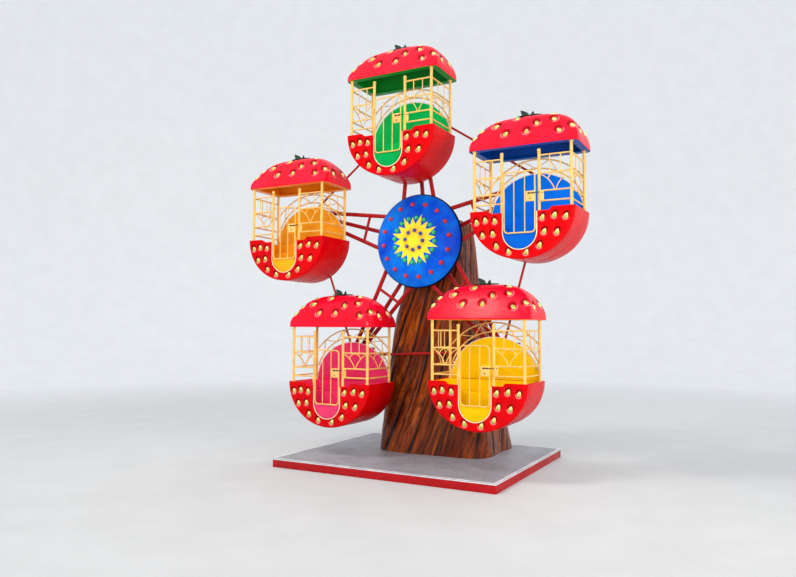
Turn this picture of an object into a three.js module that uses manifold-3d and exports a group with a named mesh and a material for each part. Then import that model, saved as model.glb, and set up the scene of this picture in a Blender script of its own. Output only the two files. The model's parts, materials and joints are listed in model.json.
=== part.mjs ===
// Children's ferris wheel: five fruit-shaped cabins hang in front of a wheel of tube arms,
// and the wheel turns on the front of a tree-trunk column that stands on a low platform.
// Millimetres, +Z up, front towards -Y, origin at the middle of the platform's underside.
import * as THREE from 'three';
import { mergeVertices } from 'three/addons/utils/BufferGeometryUtils.js';
import Module from 'manifold-3d';

const wasm = await Module();
wasm.setup();

// Gaps between pieces
const SEAT_GAP = 0.3;
const BEARING_GAP = 0.5;

// Platform and deck
const PLATFORM = { width: 3220, depth: 2740, height: 114, beam: 100, cellsX: 5, cellsY: 4 };
// The column and wheel stand this far behind their own zero line, in front of the platform's middle
const COLUMN_Y = -130;
const DECK_THICK = 6;
const DECK_TOP = PLATFORM.height + SEAT_GAP + DECK_THICK;

// Trunk sections from the ground up: height, middle, half width, front and back
const TRUNK_SECTIONS = [
  { z: DECK_TOP + SEAT_GAP, mid: 70, half: 905, front: 0, back: 1490 },
  { z: 420, mid: 60, half: 860, front: 25, back: 1470 },
  { z: 1000, mid: 30, half: 755, front: 100, back: 1430 },
  { z: 1700, mid: 10, half: 670, front: 180, back: 1390 },
  { z: 2100, mid: -5, half: 605, front: 221, back: 1350 },
  { z: 2450, mid: 0, half: 515, front: 257, back: 1260 },
  { z: 3100, mid: 5, half: 455, front: 298, back: 1190 },
  { z: 3490, mid: 5, half: 415, front: 310, back: 1140 },
];
const TRUNK_POINTS = 24;
const TRUNK_SQUARENESS = 4.5;
const TRUNK_LOBE = 0.035;

// Wheel
const HUB_Z = 3140;
const PIVOT_RADIUS = 1880;
const START_ANGLE = THREE.MathUtils.degToRad(-2.6);
const STEP_ANGLE = THREE.MathUtils.degToRad(72);
const ARM_Y = 12;
const COLOURS = {
  green: 0x0c9a3c, blue: 0x0f6fe8, yellow: 0xffbf00, pink: 0xf0307a, orange: 0xff8a1e,
};
const CABIN_NAMES = Object.keys(COLOURS);

// Arms: two front pipes that close in on the pivot, and one rear pipe
const PIPE_RADIUS = 30;
const PIPE_SIDES = 8;
const POST_SIDES = 6;
const BAR_SIDES = 4;
const FRONT_PIPE = { innerR: 385, innerT: 276, outerR: 1850, outerT: 62 };
const REAR_PIPE = { innerY: 202, outerY: 62, outerR: 1830 };
const TIE_R = 920;
const BEARING = { radius: 58, bore: 31.4, front: -48, back: 82, sides: 16 };
const ROD_RADIUS = 17;
const ROD_VERTEX_R = 1978;
const ROD_END_INSET = 45;
const ROD_PLATE_THICK = 14;

// Hub
const HUB_PLATE = { radius: 520, front: ARM_Y + PIPE_RADIUS + SEAT_GAP, thick: 20 };
const HUB_TUBE_RADIUS = 160;
const HUB_TUBE_BACK = 246;
const HUB_SIDES = 20;
const SHAFT = { radius: 94.8, back: 420 };
const HOUSING = { radius: 190, bore: 96.4, front: HUB_TUBE_BACK + SEAT_GAP, back: 470, sides: 24 };
const DISC = { radius: 672, rim: 18, bulge: 150, back: ARM_Y - PIPE_RADIUS - SEAT_GAP };
const DISC_SIDES = 24;
const DISC_RINGS = 5;

// Cabin levels, measured from the pivot
const ROOF_RIM_Z = 337;
const POST_HEIGHT = 782;
const TUB_RIM_Z = ROOF_RIM_Z - POST_HEIGHT;
const FRONT_POST_Y = -735;
const BACK_POST_Y = -147;

// Tub
const TUB = {
  halfWidth: 668, front: -774, back: -60, drop: 612, wall: 58, backWall: 106, floorLift: 90, points: 14,
};
// Stations from front to back, with the share of the full width and drop there
const TUB_STATIONS = [
  { t: -1, sx: 0.982, sz: 0.972 }, { t: -0.955, sx: 1, sz: 1 },
  { t: 0.955, sx: 1, sz: 1 }, { t: 1, sx: 0.982, sz: 0.972 },
];
const RIM_STEP = { drop: 40, leftHigh: -440, leftLow: -385, rightLow: 345, rightHigh: 392 };

// Door in its U-shaped notch
const DOOR_MID_X = -15;
const NOTCH_HALF = 217;
const NOTCH_BOTTOM_Z = TUB_RIM_Z - 494;
const DOOR = {
  gap: 6, front: -768, thick: 16, top: -452, tube: 18, grilleHalf: 205, grilleTop: 22,
  grilleBottom: -745, corner: 60, bars: 2,
};
const HINGE = { x: -237, y: -778, radius: 11, barrel: 45, heights: [-120, -390] };

// Posts and rails
const POST_RADIUS = 19;
const DOOR_POST_RADIUS = 18;
const POST_X = { front: 617, back: 626, doorLeft: -252, doorRight: 223 };
const RAIL_RADIUS = 10;
const BALUSTER_RADIUS = 7;
const RAIL_DROPS = [0.175, 0.458, 0.733, 0.89];
const RAIL_Z = RAIL_DROPS.map((drop) => ROOF_RIM_Z - drop * POST_HEIGHT);
const LATCH = { low: RAIL_Z[3] - 2, high: RAIL_Z[2] + 2, doorWidth: 128, postReach: 62 };
const FINIAL = { z: ROOF_RIM_Z - 76, radius: 23 };

// Back panel, its double arch and the pivot boss
const PANEL = {
  front: BACK_POST_Y + POST_RADIUS + SEAT_GAP, thick: 19, half: 620, rise: 565, points: 16,
};
const ARCH = {
  outer: { half: 780, rise: 763 }, inner: { half: 655, rise: 641 }, bar: 20, reach: 606, points: 10,
};
const ARCH_STRUTS = { count: 8, firstTurn: 0.66, width: 14 };
const BEAM = { half: 350, back: -82, height: 90 };
const BOSS = { radius: 60, back: BEARING.front - SEAT_GAP };
const AXLE = { radius: BEARING.bore * Math.cos(Math.PI / BEARING.sides) - BEARING_GAP, back: 70 };

// Roof shell
const ROOF = {
  midY: -406, halfWidth: 700, halfDepth: 375, lip: 14, dome: 450, wall: 30, top: 20, flange: 97,
  flangeThick: 18,
};
const ROOF_POINTS = 14;
const ROOF_STATIONS = [-1, -0.86, -0.7, -0.55, -0.42, -0.3, -0.15, 0, 0.15, 0.3, 0.42, 0.55, 0.7, 0.86, 1];
// The roof is an arch from end to end
const ROOF_ARCH = { power: 3.6, root: 0.52 };
// The front and back faces lean inwards and bend over into the top
const ROOF_SLOPE = 1.55;
const ROOF_SHOULDER = 6;
// How sharply the roof's end and front faces meet along the lines that rise from its corners
const ROOF_CREASE = 3.4;

// Leaf crown
const LEAF = { count: 6, length: 215, width: 120, thick: 10, upright: 120 };

// Bench
const BENCH = { front: -395, back: -164.6, seat: -610 };

// Materials
const paint = (color, roughness = 0.3, metalness = 0) =>
  new THREE.MeshStandardMaterial({ color, roughness, metalness });
const RED = paint(0xe00a18, 0.22);
const PIPE_RED = paint(0xb81218, 0.3, 0.2);
const GOLD = paint(0xf0b454, 0.35, 0.1);
const BARK = paint(0x7a3a14, 0.35);
const PLATE_GREY = paint(0x8d9296, 0.45, 0.8);
const DISC_BLUE = paint(0x1456c8, 0.25);
const LEAF_GREEN = paint(0x0d5a2c, 0.4);
const STEEL = paint(0x8a1f1f, 0.4, 0.4);
const ACCENTS = Object.fromEntries(CABIN_NAMES.map((name) => [name, paint(COLOURS[name])]));

// Solids from geometries, and back

function toSolid(geometry) {
  const bare = geometry.clone();
  bare.deleteAttribute('normal');
  bare.deleteAttribute('uv');
  const merged = mergeVertices(bare, 1e-3);
  return new wasm.Manifold(new wasm.Mesh({
    numProp: 3,
    vertProperties: new Float32Array(merged.attributes.position.array),
    triVerts: new Uint32Array(merged.index.array),
  }));
}

function toGeometry(solid) {
  const mesh = solid.getMesh();
  const geometry = new THREE.BufferGeometry();
  geometry.setAttribute('position', new THREE.BufferAttribute(mesh.vertProperties, 3));
  geometry.setIndex(new THREE.BufferAttribute(mesh.triVerts, 1));
  return geometry;
}

function join(geometries) {
  return toGeometry(geometries.map(toSolid).reduce((whole, piece) => whole.add(piece)));
}

function cut(geometry, tools) {
  return toGeometry(tools.map(toSolid).reduce((rest, tool) => rest.subtract(tool), toSolid(geometry)));
}

function common(a, b) {
  return toGeometry(toSolid(a).intersect(toSolid(b)));
}

// Basic shapes

function box(low, high) {
  const size = high.map((value, i) => value - low[i]);
  const middle = high.map((value, i) => (value + low[i]) / 2);
  return new THREE.BoxGeometry(...size).translate(...middle);
}

function rod(from, to, radius, sides) {
  const start = new THREE.Vector3(...from);
  const end = new THREE.Vector3(...to);
  const along = end.clone().sub(start);
  const turn = new THREE.Quaternion()
    .setFromUnitVectors(new THREE.Vector3(0, 1, 0), along.clone().normalize());
  return new THREE.CylinderGeometry(radius, radius, along.length(), sides)
    .applyQuaternion(turn)
    .translate(...start.add(end).multiplyScalar(0.5).toArray());
}

// A cylinder along Y, with the middle of one of its flats turned to the given angle from +Z
function drum(radius, front, back, sides, flatAngle = 0) {
  return new THREE.CylinderGeometry(radius, radius, back - front, sides)
    .rotateY(flatAngle + Math.PI / sides)
    .translate(0, (front + back) / 2, 0);
}

// A closed outline in X and Z, extruded along Y
function slab(shape, front, thick, curveSegments = 6) {
  return new THREE.ExtrudeGeometry(shape, { depth: thick, bevelEnabled: false, curveSegments })
    .rotateX(Math.PI / 2)
    .translate(0, front + thick, 0);
}

function shapeOf(points) {
  return new THREE.Shape(points.map(([x, z]) => new THREE.Vector2(x, z)));
}

// A solid through convex rings that all have the same number of points
function loft(rings) {
  const count = rings[0].length;
  const positions = rings.flat(2);
  const index = [];
  for (let r = 0; r + 1 < rings.length; r++) {
    for (let k = 0; k < count; k++) {
      const next = (k + 1) % count;
      const [a, b] = [r * count + k, r * count + next];
      index.push(a, b, b + count, a, b + count, a + count);
    }
  }
  const last = (rings.length - 1) * count;
  for (let k = 1; k + 1 < count; k++) {
    index.push(0, k + 1, k, last, last + k, last + k + 1);
  }
  const geometry = new THREE.BufferGeometry();
  geometry.setAttribute('position', new THREE.Float32BufferAttribute(positions, 3));
  geometry.setIndex(index);
  return geometry;
}

// Platform, deck and trunk

function platformFrame() {
  const { width, depth, height, beam, cellsX, cellsY } = PLATFORM;
  const [pitchX, pitchY] = [(width - beam) / cellsX, (depth - beam) / cellsY];
  const cells = [];
  for (let i = 0; i < cellsX; i++) {
    for (let j = 0; j < cellsY; j++) {
      const [left, low] = [beam + i * pitchX - width / 2, beam + j * pitchY - depth / 2];
      cells.push(box([left, low, -1], [left + pitchX - beam, low + pitchY - beam, height + 1]));
    }
  }
  return cut(box([-width / 2, -depth / 2, 0], [width / 2, depth / 2, height]), cells);
}

function deckPlate() {
  const { width, depth, height } = PLATFORM;
  return box([-width / 2, -depth / 2, height + SEAT_GAP], [width / 2, depth / 2, DECK_TOP]);
}

function trunk() {
  const rings = TRUNK_SECTIONS.map(({ z, mid, half, front, back }, level) => {
    const ring = [];
    for (let k = 0; k < TRUNK_POINTS; k++) {
      const angle = (2 * Math.PI * k) / TRUNK_POINTS;
      const [c, s] = [Math.cos(angle), Math.sin(angle)];
      const power = TRUNK_SQUARENESS;
      const reach = (Math.abs(c) ** power + Math.abs(s) ** power) ** (-1 / power);
      const lobe = 1 - TRUNK_LOBE * (0.5 + 0.5 * Math.cos(5 * angle + level));
      ring.push([
        mid + half * c * reach * lobe,
        (front + back) / 2 + ((back - front) / 2) * s * reach * lobe,
        z,
      ]);
    }
    return ring;
  });
  const solid = loft(rings);
  const recess = drum(HOUSING.radius + SEAT_GAP, 0, HOUSING.back + SEAT_GAP, HOUSING.sides);
  return cut(solid, [recess.translate(0, 0, HUB_Z)]);
}

function bearingHousing() {
  const tube = drum(HOUSING.radius, HOUSING.front, HOUSING.back, HOUSING.sides);
  const bore = drum(HOUSING.bore, HOUSING.front - 1, SHAFT.back + 10, HOUSING.sides);
  return cut(tube, [bore]);
}

// Wheel

function hubCore() {
  return join([
    drum(HUB_PLATE.radius, HUB_PLATE.front, HUB_PLATE.front + HUB_PLATE.thick, HUB_SIDES),
    drum(HUB_TUBE_RADIUS, HUB_PLATE.front, HUB_TUBE_BACK, HUB_SIDES),
    drum(SHAFT.radius, HUB_TUBE_BACK - 1, SHAFT.back, HOUSING.sides),
  ]);
}

function hubDisc() {
  const profile = [];
  for (let k = 0; k <= DISC_RINGS; k++) {
    const angle = (Math.PI / 2) * (k / DISC_RINGS);
    profile.push([DISC.radius * Math.sin(angle), DISC.back - DISC.rim - DISC.bulge * Math.cos(angle) ** 1.3]);
  }
  profile.push([DISC.radius, DISC.back], [0, DISC.back]);
  return new THREE.LatheGeometry(profile.map(([radius, y]) => new THREE.Vector2(radius, y)), DISC_SIDES);
}

function rodDirection(side) {
  const angle = Math.PI / 2 + STEP_ANGLE / 2;
  return [side * Math.sin(angle), Math.cos(angle)];
}

// One arm, pointing along +Z from the hub
function arm() {
  const { innerR, innerT, outerR, outerT } = FRONT_PIPE;
  const tieT = innerT + ((TIE_R - innerR) / (outerR - innerR)) * (outerT - innerT);
  const corner = ([t, r], along, across) => [
    along * t + across * Math.abs(r), ROD_VERTEX_R + along * r + Math.sign(t) * across * t,
  ];
  const right = rodDirection(1);
  const inset = ROD_END_INSET;
  const plateHalf = [
    [0, ROD_VERTEX_R + 24],
    corner(right, inset, 26),
    corner(right, inset, -24),
    [50, PIVOT_RADIUS],
  ];
  const mirrored = plateHalf.slice(1).reverse().map(([t, r]) => [-t, r]);
  const plateOutline = shapeOf([...plateHalf, ...mirrored].reverse());
  const plate = slab(plateOutline, ARM_Y - ROD_PLATE_THICK / 2, ROD_PLATE_THICK);
  const body = join([
    ...[-1, 1].map((side) => rod([side * innerT, ARM_Y, innerR], [side * outerT, ARM_Y, outerR],
      PIPE_RADIUS, PIPE_SIDES)),
    rod([-tieT, ARM_Y, TIE_R], [tieT, ARM_Y, TIE_R], PIPE_RADIUS * 0.7, PIPE_SIDES),
    rod([0, REAR_PIPE.innerY, HUB_TUBE_RADIUS - 20], [0, REAR_PIPE.outerY, REAR_PIPE.outerR],
      PIPE_RADIUS, PIPE_SIDES),
    box([-outerT - 20, ARM_Y - 20, PIVOT_RADIUS - 90], [outerT + 20, ARM_Y + 40, PIVOT_RADIUS - 30]),
    drum(BEARING.radius, BEARING.front, BEARING.back, BEARING.sides).translate(0, 0, PIVOT_RADIUS),
    plate,
  ]);
  const bore = drum(BEARING.bore, BEARING.front - 1, BEARING.back + 1, BEARING.sides);
  const hubTube = drum(HUB_TUBE_RADIUS + SEAT_GAP, 0, HUB_TUBE_BACK, HUB_SIDES);
  const nextArm = box([-SEAT_GAP / 2, -100, 0], [900, 200, 1200]).rotateY(STEP_ANGLE / 2);
  const lastArm = box([-900, -100, 0], [SEAT_GAP / 2, 200, 1200]).rotateY(-STEP_ANGLE / 2);
  return cut(body, [bore.translate(0, 0, PIVOT_RADIUS), hubTube, nextArm, lastArm]);
}

// The tie rod that runs from one arm's end to the next, clockwise seen from the front
function tieRod() {
  const [t, r] = rodDirection(1);
  const start = ROD_END_INSET + SEAT_GAP;
  const length = 2 * ROD_VERTEX_R * Math.sin(STEP_ANGLE / 2);
  return rod([start * t, ARM_Y, ROD_VERTEX_R + start * r],
    [(length - start) * t, ARM_Y, ROD_VERTEX_R + (length - start) * r], ROD_RADIUS, PIPE_SIDES);
}

// Cabin: tub

function tubRings({ front, back, inset, floorZ, topZ }) {
  return TUB_STATIONS.map(({ t, sx, sz }) => {
    const y = (front + back) / 2 + (t * (back - front)) / 2;
    const half = TUB.halfWidth * sx - inset;
    const ring = topZ > TUB_RIM_Z ? [[half, y, topZ]] : [];
    for (let k = 0; k <= TUB.points; k++) {
      const angle = (Math.PI * k) / TUB.points;
      const depth = (TUB.drop * sz - inset) * Math.sin(angle);
      ring.push([half * Math.cos(angle), y, Math.max(TUB_RIM_Z - depth, floorZ)]);
    }
    if (topZ > TUB_RIM_Z) ring.push([-half, y, topZ]);
    return ring;
  });
}

const TUB_FLOOR_Z = TUB_RIM_Z - TUB.drop + TUB.floorLift;

function cavity(extra = 0) {
  return loft(tubRings({
    front: TUB.front + TUB.wall + extra,
    back: TUB.back - TUB.backWall - extra,
    inset: TUB.wall + extra,
    floorZ: TUB_FLOOR_Z + extra,
    topZ: TUB_RIM_Z + 60,
  }));
}

// A U outline, open end up, as wide as the door notch less a gap
function uShape(gap, top) {
  const half = NOTCH_HALF - gap;
  const centre = NOTCH_BOTTOM_Z + NOTCH_HALF;
  const shape = new THREE.Shape();
  shape.moveTo(DOOR_MID_X + half, top);
  shape.lineTo(DOOR_MID_X - half, top);
  shape.lineTo(DOOR_MID_X - half, centre);
  shape.absarc(DOOR_MID_X, centre, half, Math.PI, 2 * Math.PI, false);
  return shape;
}

function tub() {
  const { front, back } = TUB;
  const outside = loft(tubRings({ front, back, inset: 0, floorZ: -Infinity, topZ: TUB_RIM_Z }));
  const notch = slab(uShape(0, TUB_RIM_Z + 10), front - 5, TUB.wall + 25, 6);
  const { drop, leftHigh, leftLow, rightLow, rightHigh } = RIM_STEP;
  const step = slab(shapeOf([
    [leftHigh, TUB_RIM_Z], [leftLow, TUB_RIM_Z - drop], [rightLow, TUB_RIM_Z - drop], [rightHigh, TUB_RIM_Z],
    [rightHigh, TUB_RIM_Z + 10], [leftHigh, TUB_RIM_Z + 10],
  ]), front - 5, TUB.wall + 25);
  return cut(outside, [cavity(), notch, step]);
}

function bench() {
  const block = box([-TUB.halfWidth, BENCH.front, TUB_RIM_Z - TUB.drop],
    [TUB.halfWidth, BENCH.back, BENCH.seat]);
  return common(cavity(SEAT_GAP), block);
}

// Cabin: posts and rails on one side of the door

function railPanel(from, to) {
  const at = (t) => [from[0] + (to[0] - from[0]) * t, from[1] + (to[1] - from[1]) * t];
  const rails = RAIL_Z.map((z) => rod([...from, z], [...to, z], RAIL_RADIUS, BAR_SIDES));
  const uprights = [1 / 3, 2 / 3].map((t) => rod([...at(t), RAIL_Z[0]], [...at(t), RAIL_Z[1]],
    BALUSTER_RADIUS, BAR_SIDES));
  return [...rails, ...uprights];
}

// side is -1 for the left of the door and +1 for the right
function railing(side) {
  const front = [side * POST_X.front, FRONT_POST_Y];
  const back = [side * POST_X.back, BACK_POST_Y];
  const door = [side < 0 ? POST_X.doorLeft : POST_X.doorRight, FRONT_POST_Y];
  const footZ = TUB_RIM_Z + SEAT_GAP;
  const topZ = ROOF_RIM_Z - SEAT_GAP;
  const pieces = [
    rod([...front, footZ], [...front, topZ], POST_RADIUS, POST_SIDES),
    rod([...back, footZ], [...back, topZ], POST_RADIUS, POST_SIDES),
    rod([...door, footZ - RIM_STEP.drop], [...door, FINIAL.z], DOOR_POST_RADIUS, POST_SIDES),
    new THREE.SphereGeometry(FINIAL.radius, POST_SIDES, 4).rotateX(Math.PI / 2).translate(...door, FINIAL.z),
    ...railPanel(door, front),
    ...railPanel(front, back),
  ];
  if (side < 0) {
    for (const z of HINGE.heights) {
      pieces.push(rod([HINGE.x, HINGE.y, z - HINGE.barrel], [HINGE.x, HINGE.y, z], HINGE.radius, POST_SIDES));
      pieces.push(box([HINGE.x - 14, HINGE.y, z - HINGE.barrel + 5], [HINGE.x - 4, FRONT_POST_Y, z - 5]));
    }
  } else {
    pieces.push(box([door[0], FRONT_POST_Y - 16, LATCH.low],
      [door[0] + LATCH.postReach, FRONT_POST_Y - 6, LATCH.high]));
  }
  return join(pieces);
}

// Cabin: door with its solid lower panel, grille and hinge barrels

function roundedRect(left, right, low, high, radius, clockwise = false) {
  const shape = new THREE.Shape();
  shape.absarc(right - radius, high - radius, radius, 0, Math.PI / 2, false);
  shape.absarc(left + radius, high - radius, radius, Math.PI / 2, Math.PI, false);
  shape.absarc(left + radius, low + radius, radius, Math.PI, 1.5 * Math.PI, false);
  shape.absarc(right - radius, low + radius, radius, 1.5 * Math.PI, 2 * Math.PI, false);
  return clockwise ? new THREE.Path(shape.getPoints(2).reverse()) : shape;
}

function door() {
  const { front, thick, tube, corner, bars, grilleBottom, grilleTop } = DOOR;
  const [left, right] = [DOOR_MID_X - DOOR.grilleHalf, DOOR_MID_X + DOOR.grilleHalf];
  const opening = [left + tube, right - tube, grilleBottom + tube, grilleTop - tube, corner - tube];
  const window = slab(roundedRect(...opening), front - 1, thick + 2, 2);
  const panel = cut(slab(uShape(DOOR.gap, DOOR.top), front, thick, 6), [window]);
  const outline = roundedRect(left, right, grilleBottom, grilleTop, corner);
  outline.holes.push(roundedRect(...opening, true));
  const grilleY = front + 1 - tube;
  const pieces = [panel, slab(outline, grilleY, tube, 2)];
  for (let k = 1; k <= bars; k++) {
    const x = left + ((right - left) * k) / (bars + 1);
    pieces.push(box([x - 6, grilleY + 3, grilleBottom + 5], [x + 6, grilleY + 15, grilleTop - 5]));
  }
  pieces.push(box([right - LATCH.doorWidth, grilleY + 1, LATCH.low],
    [right - 2, grilleY + tube - 1, LATCH.high]));
  for (const z of HINGE.heights) {
    const low = z + SEAT_GAP;
    const high = low + HINGE.barrel;
    pieces.push(rod([HINGE.x, HINGE.y, low], [HINGE.x, HINGE.y, high], HINGE.radius, POST_SIDES));
    pieces.push(box([HINGE.x, HINGE.y - 6, low + 5], [left + 6, HINGE.y + 6, high - 5]));
  }
  return join(pieces);
}

// Cabin: back panel, double arch, beam, boss and axle

function archPoint({ half, rise }, turn) {
  return [half * Math.cos(turn), TUB_RIM_Z + rise * Math.sin(turn)];
}

// The stretch of an arch between the back posts
function archPoints(arch) {
  const start = Math.acos(ARCH.reach / arch.half);
  return Array.from({ length: ARCH.points + 1 },
    (_, k) => archPoint(arch, start + ((Math.PI - 2 * start) * k) / ARCH.points));
}

function archBand({ half, rise }) {
  const inside = { half: half - ARCH.bar, rise: rise - ARCH.bar };
  const outline = [...archPoints({ half, rise }), ...archPoints(inside).reverse()];
  return slab(shapeOf(outline), PANEL.front, PANEL.thick);
}

// A flat bar between two points of the back panel's plane
function archStrut([x0, z0], [x1, z1]) {
  const share = ARCH_STRUTS.width / 2 / Math.hypot(x1 - x0, z1 - z0);
  const [dx, dz] = [(x1 - x0) * share, (z1 - z0) * share];
  const corners = [[x0 + dz, z0 - dx], [x1 + dz, z1 - dx], [x1 - dz, z1 + dx], [x0 - dz, z0 + dx]];
  return slab(shapeOf(corners), PANEL.front, PANEL.thick);
}

function backPanel() {
  const turns = Array.from({ length: PANEL.points + 1 }, (_, k) => (Math.PI * k) / PANEL.points);
  const panel = slab(shapeOf(turns.map((turn) => archPoint(PANEL, turn))), PANEL.front, PANEL.thick)
    .translate(0, 0, SEAT_GAP);
  const { count, firstTurn } = ARCH_STRUTS;
  const struts = [];
  for (let k = 0; k < count; k++) {
    const [from, to] = [k, k + 1].map((step) => firstTurn + ((Math.PI - 2 * firstTurn) * step) / count);
    const [first, second] = k % 2 ? [ARCH.outer, ARCH.inner] : [ARCH.inner, ARCH.outer];
    const middle = ({ half, rise }) => ({ half: half - ARCH.bar / 2, rise: rise - ARCH.bar / 2 });
    struts.push(archStrut(archPoint(middle(first), from), archPoint(middle(second), to)));
  }
  // Tabs that hold the inner arch's ends to the panel
  const tabZ = archPoints(ARCH.inner)[0][1] - ARCH.bar;
  const back = PANEL.front + PANEL.thick;
  const tabs = [-1, 1].map((side) => {
    const ends = [side * ARCH.reach, side * PANEL.half * 0.86].sort((a, b) => a - b);
    return box([ends[0], PANEL.front, tabZ - ARCH.bar / 2], [ends[1], back, tabZ + ARCH.bar / 2]);
  });
  return join([
    panel,
    archBand(ARCH.outer),
    archBand(ARCH.inner),
    ...struts,
    ...tabs,
    box([-BEAM.half, back - 1, -BEAM.height / 2], [BEAM.half, BEAM.back, BEAM.height / 2]),
    drum(BOSS.radius, back - 1, BOSS.back, BEARING.sides),
    drum(AXLE.radius, BOSS.back - 1, AXLE.back, BEARING.sides),
  ]);
}

// Cabin: roof and leaf crown

// Share of the dome's height, where u runs along the roof and v across it, both from -1 to 1
function roofHeight(u, v) {
  const along = (1 - Math.abs(u) ** ROOF_ARCH.power) ** ROOF_ARCH.root;
  const slope = ROOF_SLOPE * (1 - Math.abs(v));
  if (along * slope === 0) return 0;
  const across = (slope ** -ROOF_SHOULDER + 1) ** (-1 / ROOF_SHOULDER);
  return (along ** -ROOF_CREASE + across ** -ROOF_CREASE - 1) ** (-1 / ROOF_CREASE);
}

function roofRings(inset, base, lip, dome) {
  return ROOF_STATIONS.map((v) => {
    const y = ROOF.midY + v * (ROOF.halfDepth - inset);
    const half = ROOF.halfWidth - inset;
    const ring = [[-half, y, base]];
    for (let k = 0; k <= ROOF_POINTS; k++) {
      const u = -Math.cos((Math.PI * k) / ROOF_POINTS);
      ring.push([half * u, y, base + lip + dome * roofHeight(u, v)]);
    }
    ring.push([half, y, base]);
    return ring;
  });
}

function roof() {
  const { midY, halfWidth, halfDepth, lip, dome, wall, top, flange, flangeThick } = ROOF;
  const shell = loft(roofRings(0, ROOF_RIM_Z, lip, dome));
  const inside = loft(roofRings(wall, ROOF_RIM_Z + flangeThick, lip, dome - top - flangeThick));
  const mouth = box([flange - halfWidth, midY - halfDepth + flange, ROOF_RIM_Z - 1],
    [halfWidth - flange, midY + halfDepth - flange, ROOF_RIM_Z + flangeThick + 1]);
  return cut(shell, [inside, mouth]);
}

function leafCrown() {
  const { length, width, thick, upright, count } = LEAF;
  const outline = [];
  for (let k = 0; k < count; k++) {
    const reach = k % 3 ? length : length * 0.8;
    for (const [along, across] of [[0.3, -0.35], [0.7, -0.5], [1, 0], [0.7, 0.5], [0.3, 0.35]]) {
      const taper = Math.min(1, 3 * along * (1.35 - along));
      const point = new THREE.Vector2(along * reach, across * width * taper);
      outline.push(point.rotateAround(new THREE.Vector2(), (2 * Math.PI * k) / count));
    }
  }
  const extrude = (shape) => new THREE.ExtrudeGeometry(shape, { depth: thick, bevelEnabled: false });
  const leaf = shapeOf([[-0.2, -0.01], [0.2, -0.01], [0.5, 0.6], [0, 1], [-0.5, 0.6]]
    .map(([across, along]) => [across * width, along * upright]));
  const uprights = [-1, 1].map((side) => extrude(leaf).rotateX(Math.PI / 2).rotateZ(side * 0.5)
    .translate(side * 30, 0, thick));
  return join([extrude(new THREE.Shape(outline)), ...uprights])
    .translate(0, ROOF.midY, ROOF_RIM_Z + ROOF.lip + ROOF.dome * roofHeight(0, 0) + SEAT_GAP);
}

// Assembly

const model = new THREE.Group();

function add(parent, name, geometry, material) {
  const mesh = new THREE.Mesh(geometry, material);
  mesh.name = name;
  parent.add(mesh);
}

add(model, 'platform_frame', platformFrame(), RED);
add(model, 'deck_plate', deckPlate(), PLATE_GREY);

const column = new THREE.Group();
column.position.y = COLUMN_Y;
model.add(column);
add(column, 'trunk', trunk(), BARK);

const wheel = new THREE.Group();
wheel.position.z = HUB_Z;
column.add(wheel);
add(wheel, 'bearing_housing', bearingHousing(), STEEL);

const spinner = new THREE.Group();
spinner.rotation.y = START_ANGLE;
wheel.add(spinner);
add(spinner, 'hub_core', hubCore(), PIPE_RED);
add(spinner, 'hub_disc', hubDisc(), DISC_BLUE);

const armGeometry = arm();
const rodGeometry = tieRod();
const cabinPieces = [
  ['tub', tub(), () => RED],
  ['bench', bench(), (name) => ACCENTS[name]],
  ['left_railing', railing(-1), () => GOLD],
  ['right_railing', railing(1), () => GOLD],
  ['door', door(), (name) => ACCENTS[name]],
  ['back_panel', backPanel(), (name) => ACCENTS[name]],
  ['roof', roof(), () => RED],
  ['leaves', leafCrown(), () => LEAF_GREEN],
];

CABIN_NAMES.forEach((name, k) => {
  const angle = START_ANGLE + k * STEP_ANGLE;
  const spoke = new THREE.Group();
  spoke.rotation.y = k * STEP_ANGLE;
  spinner.add(spoke);
  add(spoke, `arm_${name}`, armGeometry, PIPE_RED);
  add(spoke, `tie_rod_${name}`, rodGeometry, PIPE_RED);

  const cabin = new THREE.Group();
  cabin.position.set(PIVOT_RADIUS * Math.sin(angle), 0, PIVOT_RADIUS * Math.cos(angle));
  wheel.add(cabin);
  for (const [piece, geometry, materialFor] of cabinPieces) {
    add(cabin, `${piece}_${name}`, geometry, materialFor(name));
  }
});

export default model;
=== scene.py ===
# Looks of the children's ferris wheel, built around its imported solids.
# Metres, +Z up, front towards -Y. A cabin's own measures count from its pivot, and the wheel's from
# its hub.
import json
import math

import bmesh
import bpy
import numpy as np
from mathutils import Matrix, Vector
from mathutils.geometry import delaunay_2d_cdt


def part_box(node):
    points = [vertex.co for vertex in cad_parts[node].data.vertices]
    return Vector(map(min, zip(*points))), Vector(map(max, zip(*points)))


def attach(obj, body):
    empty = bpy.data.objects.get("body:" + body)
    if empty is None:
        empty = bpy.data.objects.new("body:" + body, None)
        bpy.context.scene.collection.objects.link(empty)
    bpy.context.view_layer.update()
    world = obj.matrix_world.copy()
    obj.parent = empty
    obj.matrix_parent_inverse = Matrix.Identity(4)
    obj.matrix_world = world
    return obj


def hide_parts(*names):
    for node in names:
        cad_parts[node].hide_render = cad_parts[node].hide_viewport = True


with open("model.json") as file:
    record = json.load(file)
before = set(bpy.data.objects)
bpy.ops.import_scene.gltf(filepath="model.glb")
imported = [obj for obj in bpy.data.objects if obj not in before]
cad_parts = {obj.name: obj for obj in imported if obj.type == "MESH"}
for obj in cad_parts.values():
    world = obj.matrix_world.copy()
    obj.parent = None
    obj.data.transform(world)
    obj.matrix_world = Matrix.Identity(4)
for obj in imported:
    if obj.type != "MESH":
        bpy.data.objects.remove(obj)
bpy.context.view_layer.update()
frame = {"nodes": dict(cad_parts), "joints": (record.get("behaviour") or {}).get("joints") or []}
joint_places = {joint["name"]: Vector(joint["pos_m"]) for joint in frame["joints"]}
HUB = joint_places["wheel_spin"]
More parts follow.
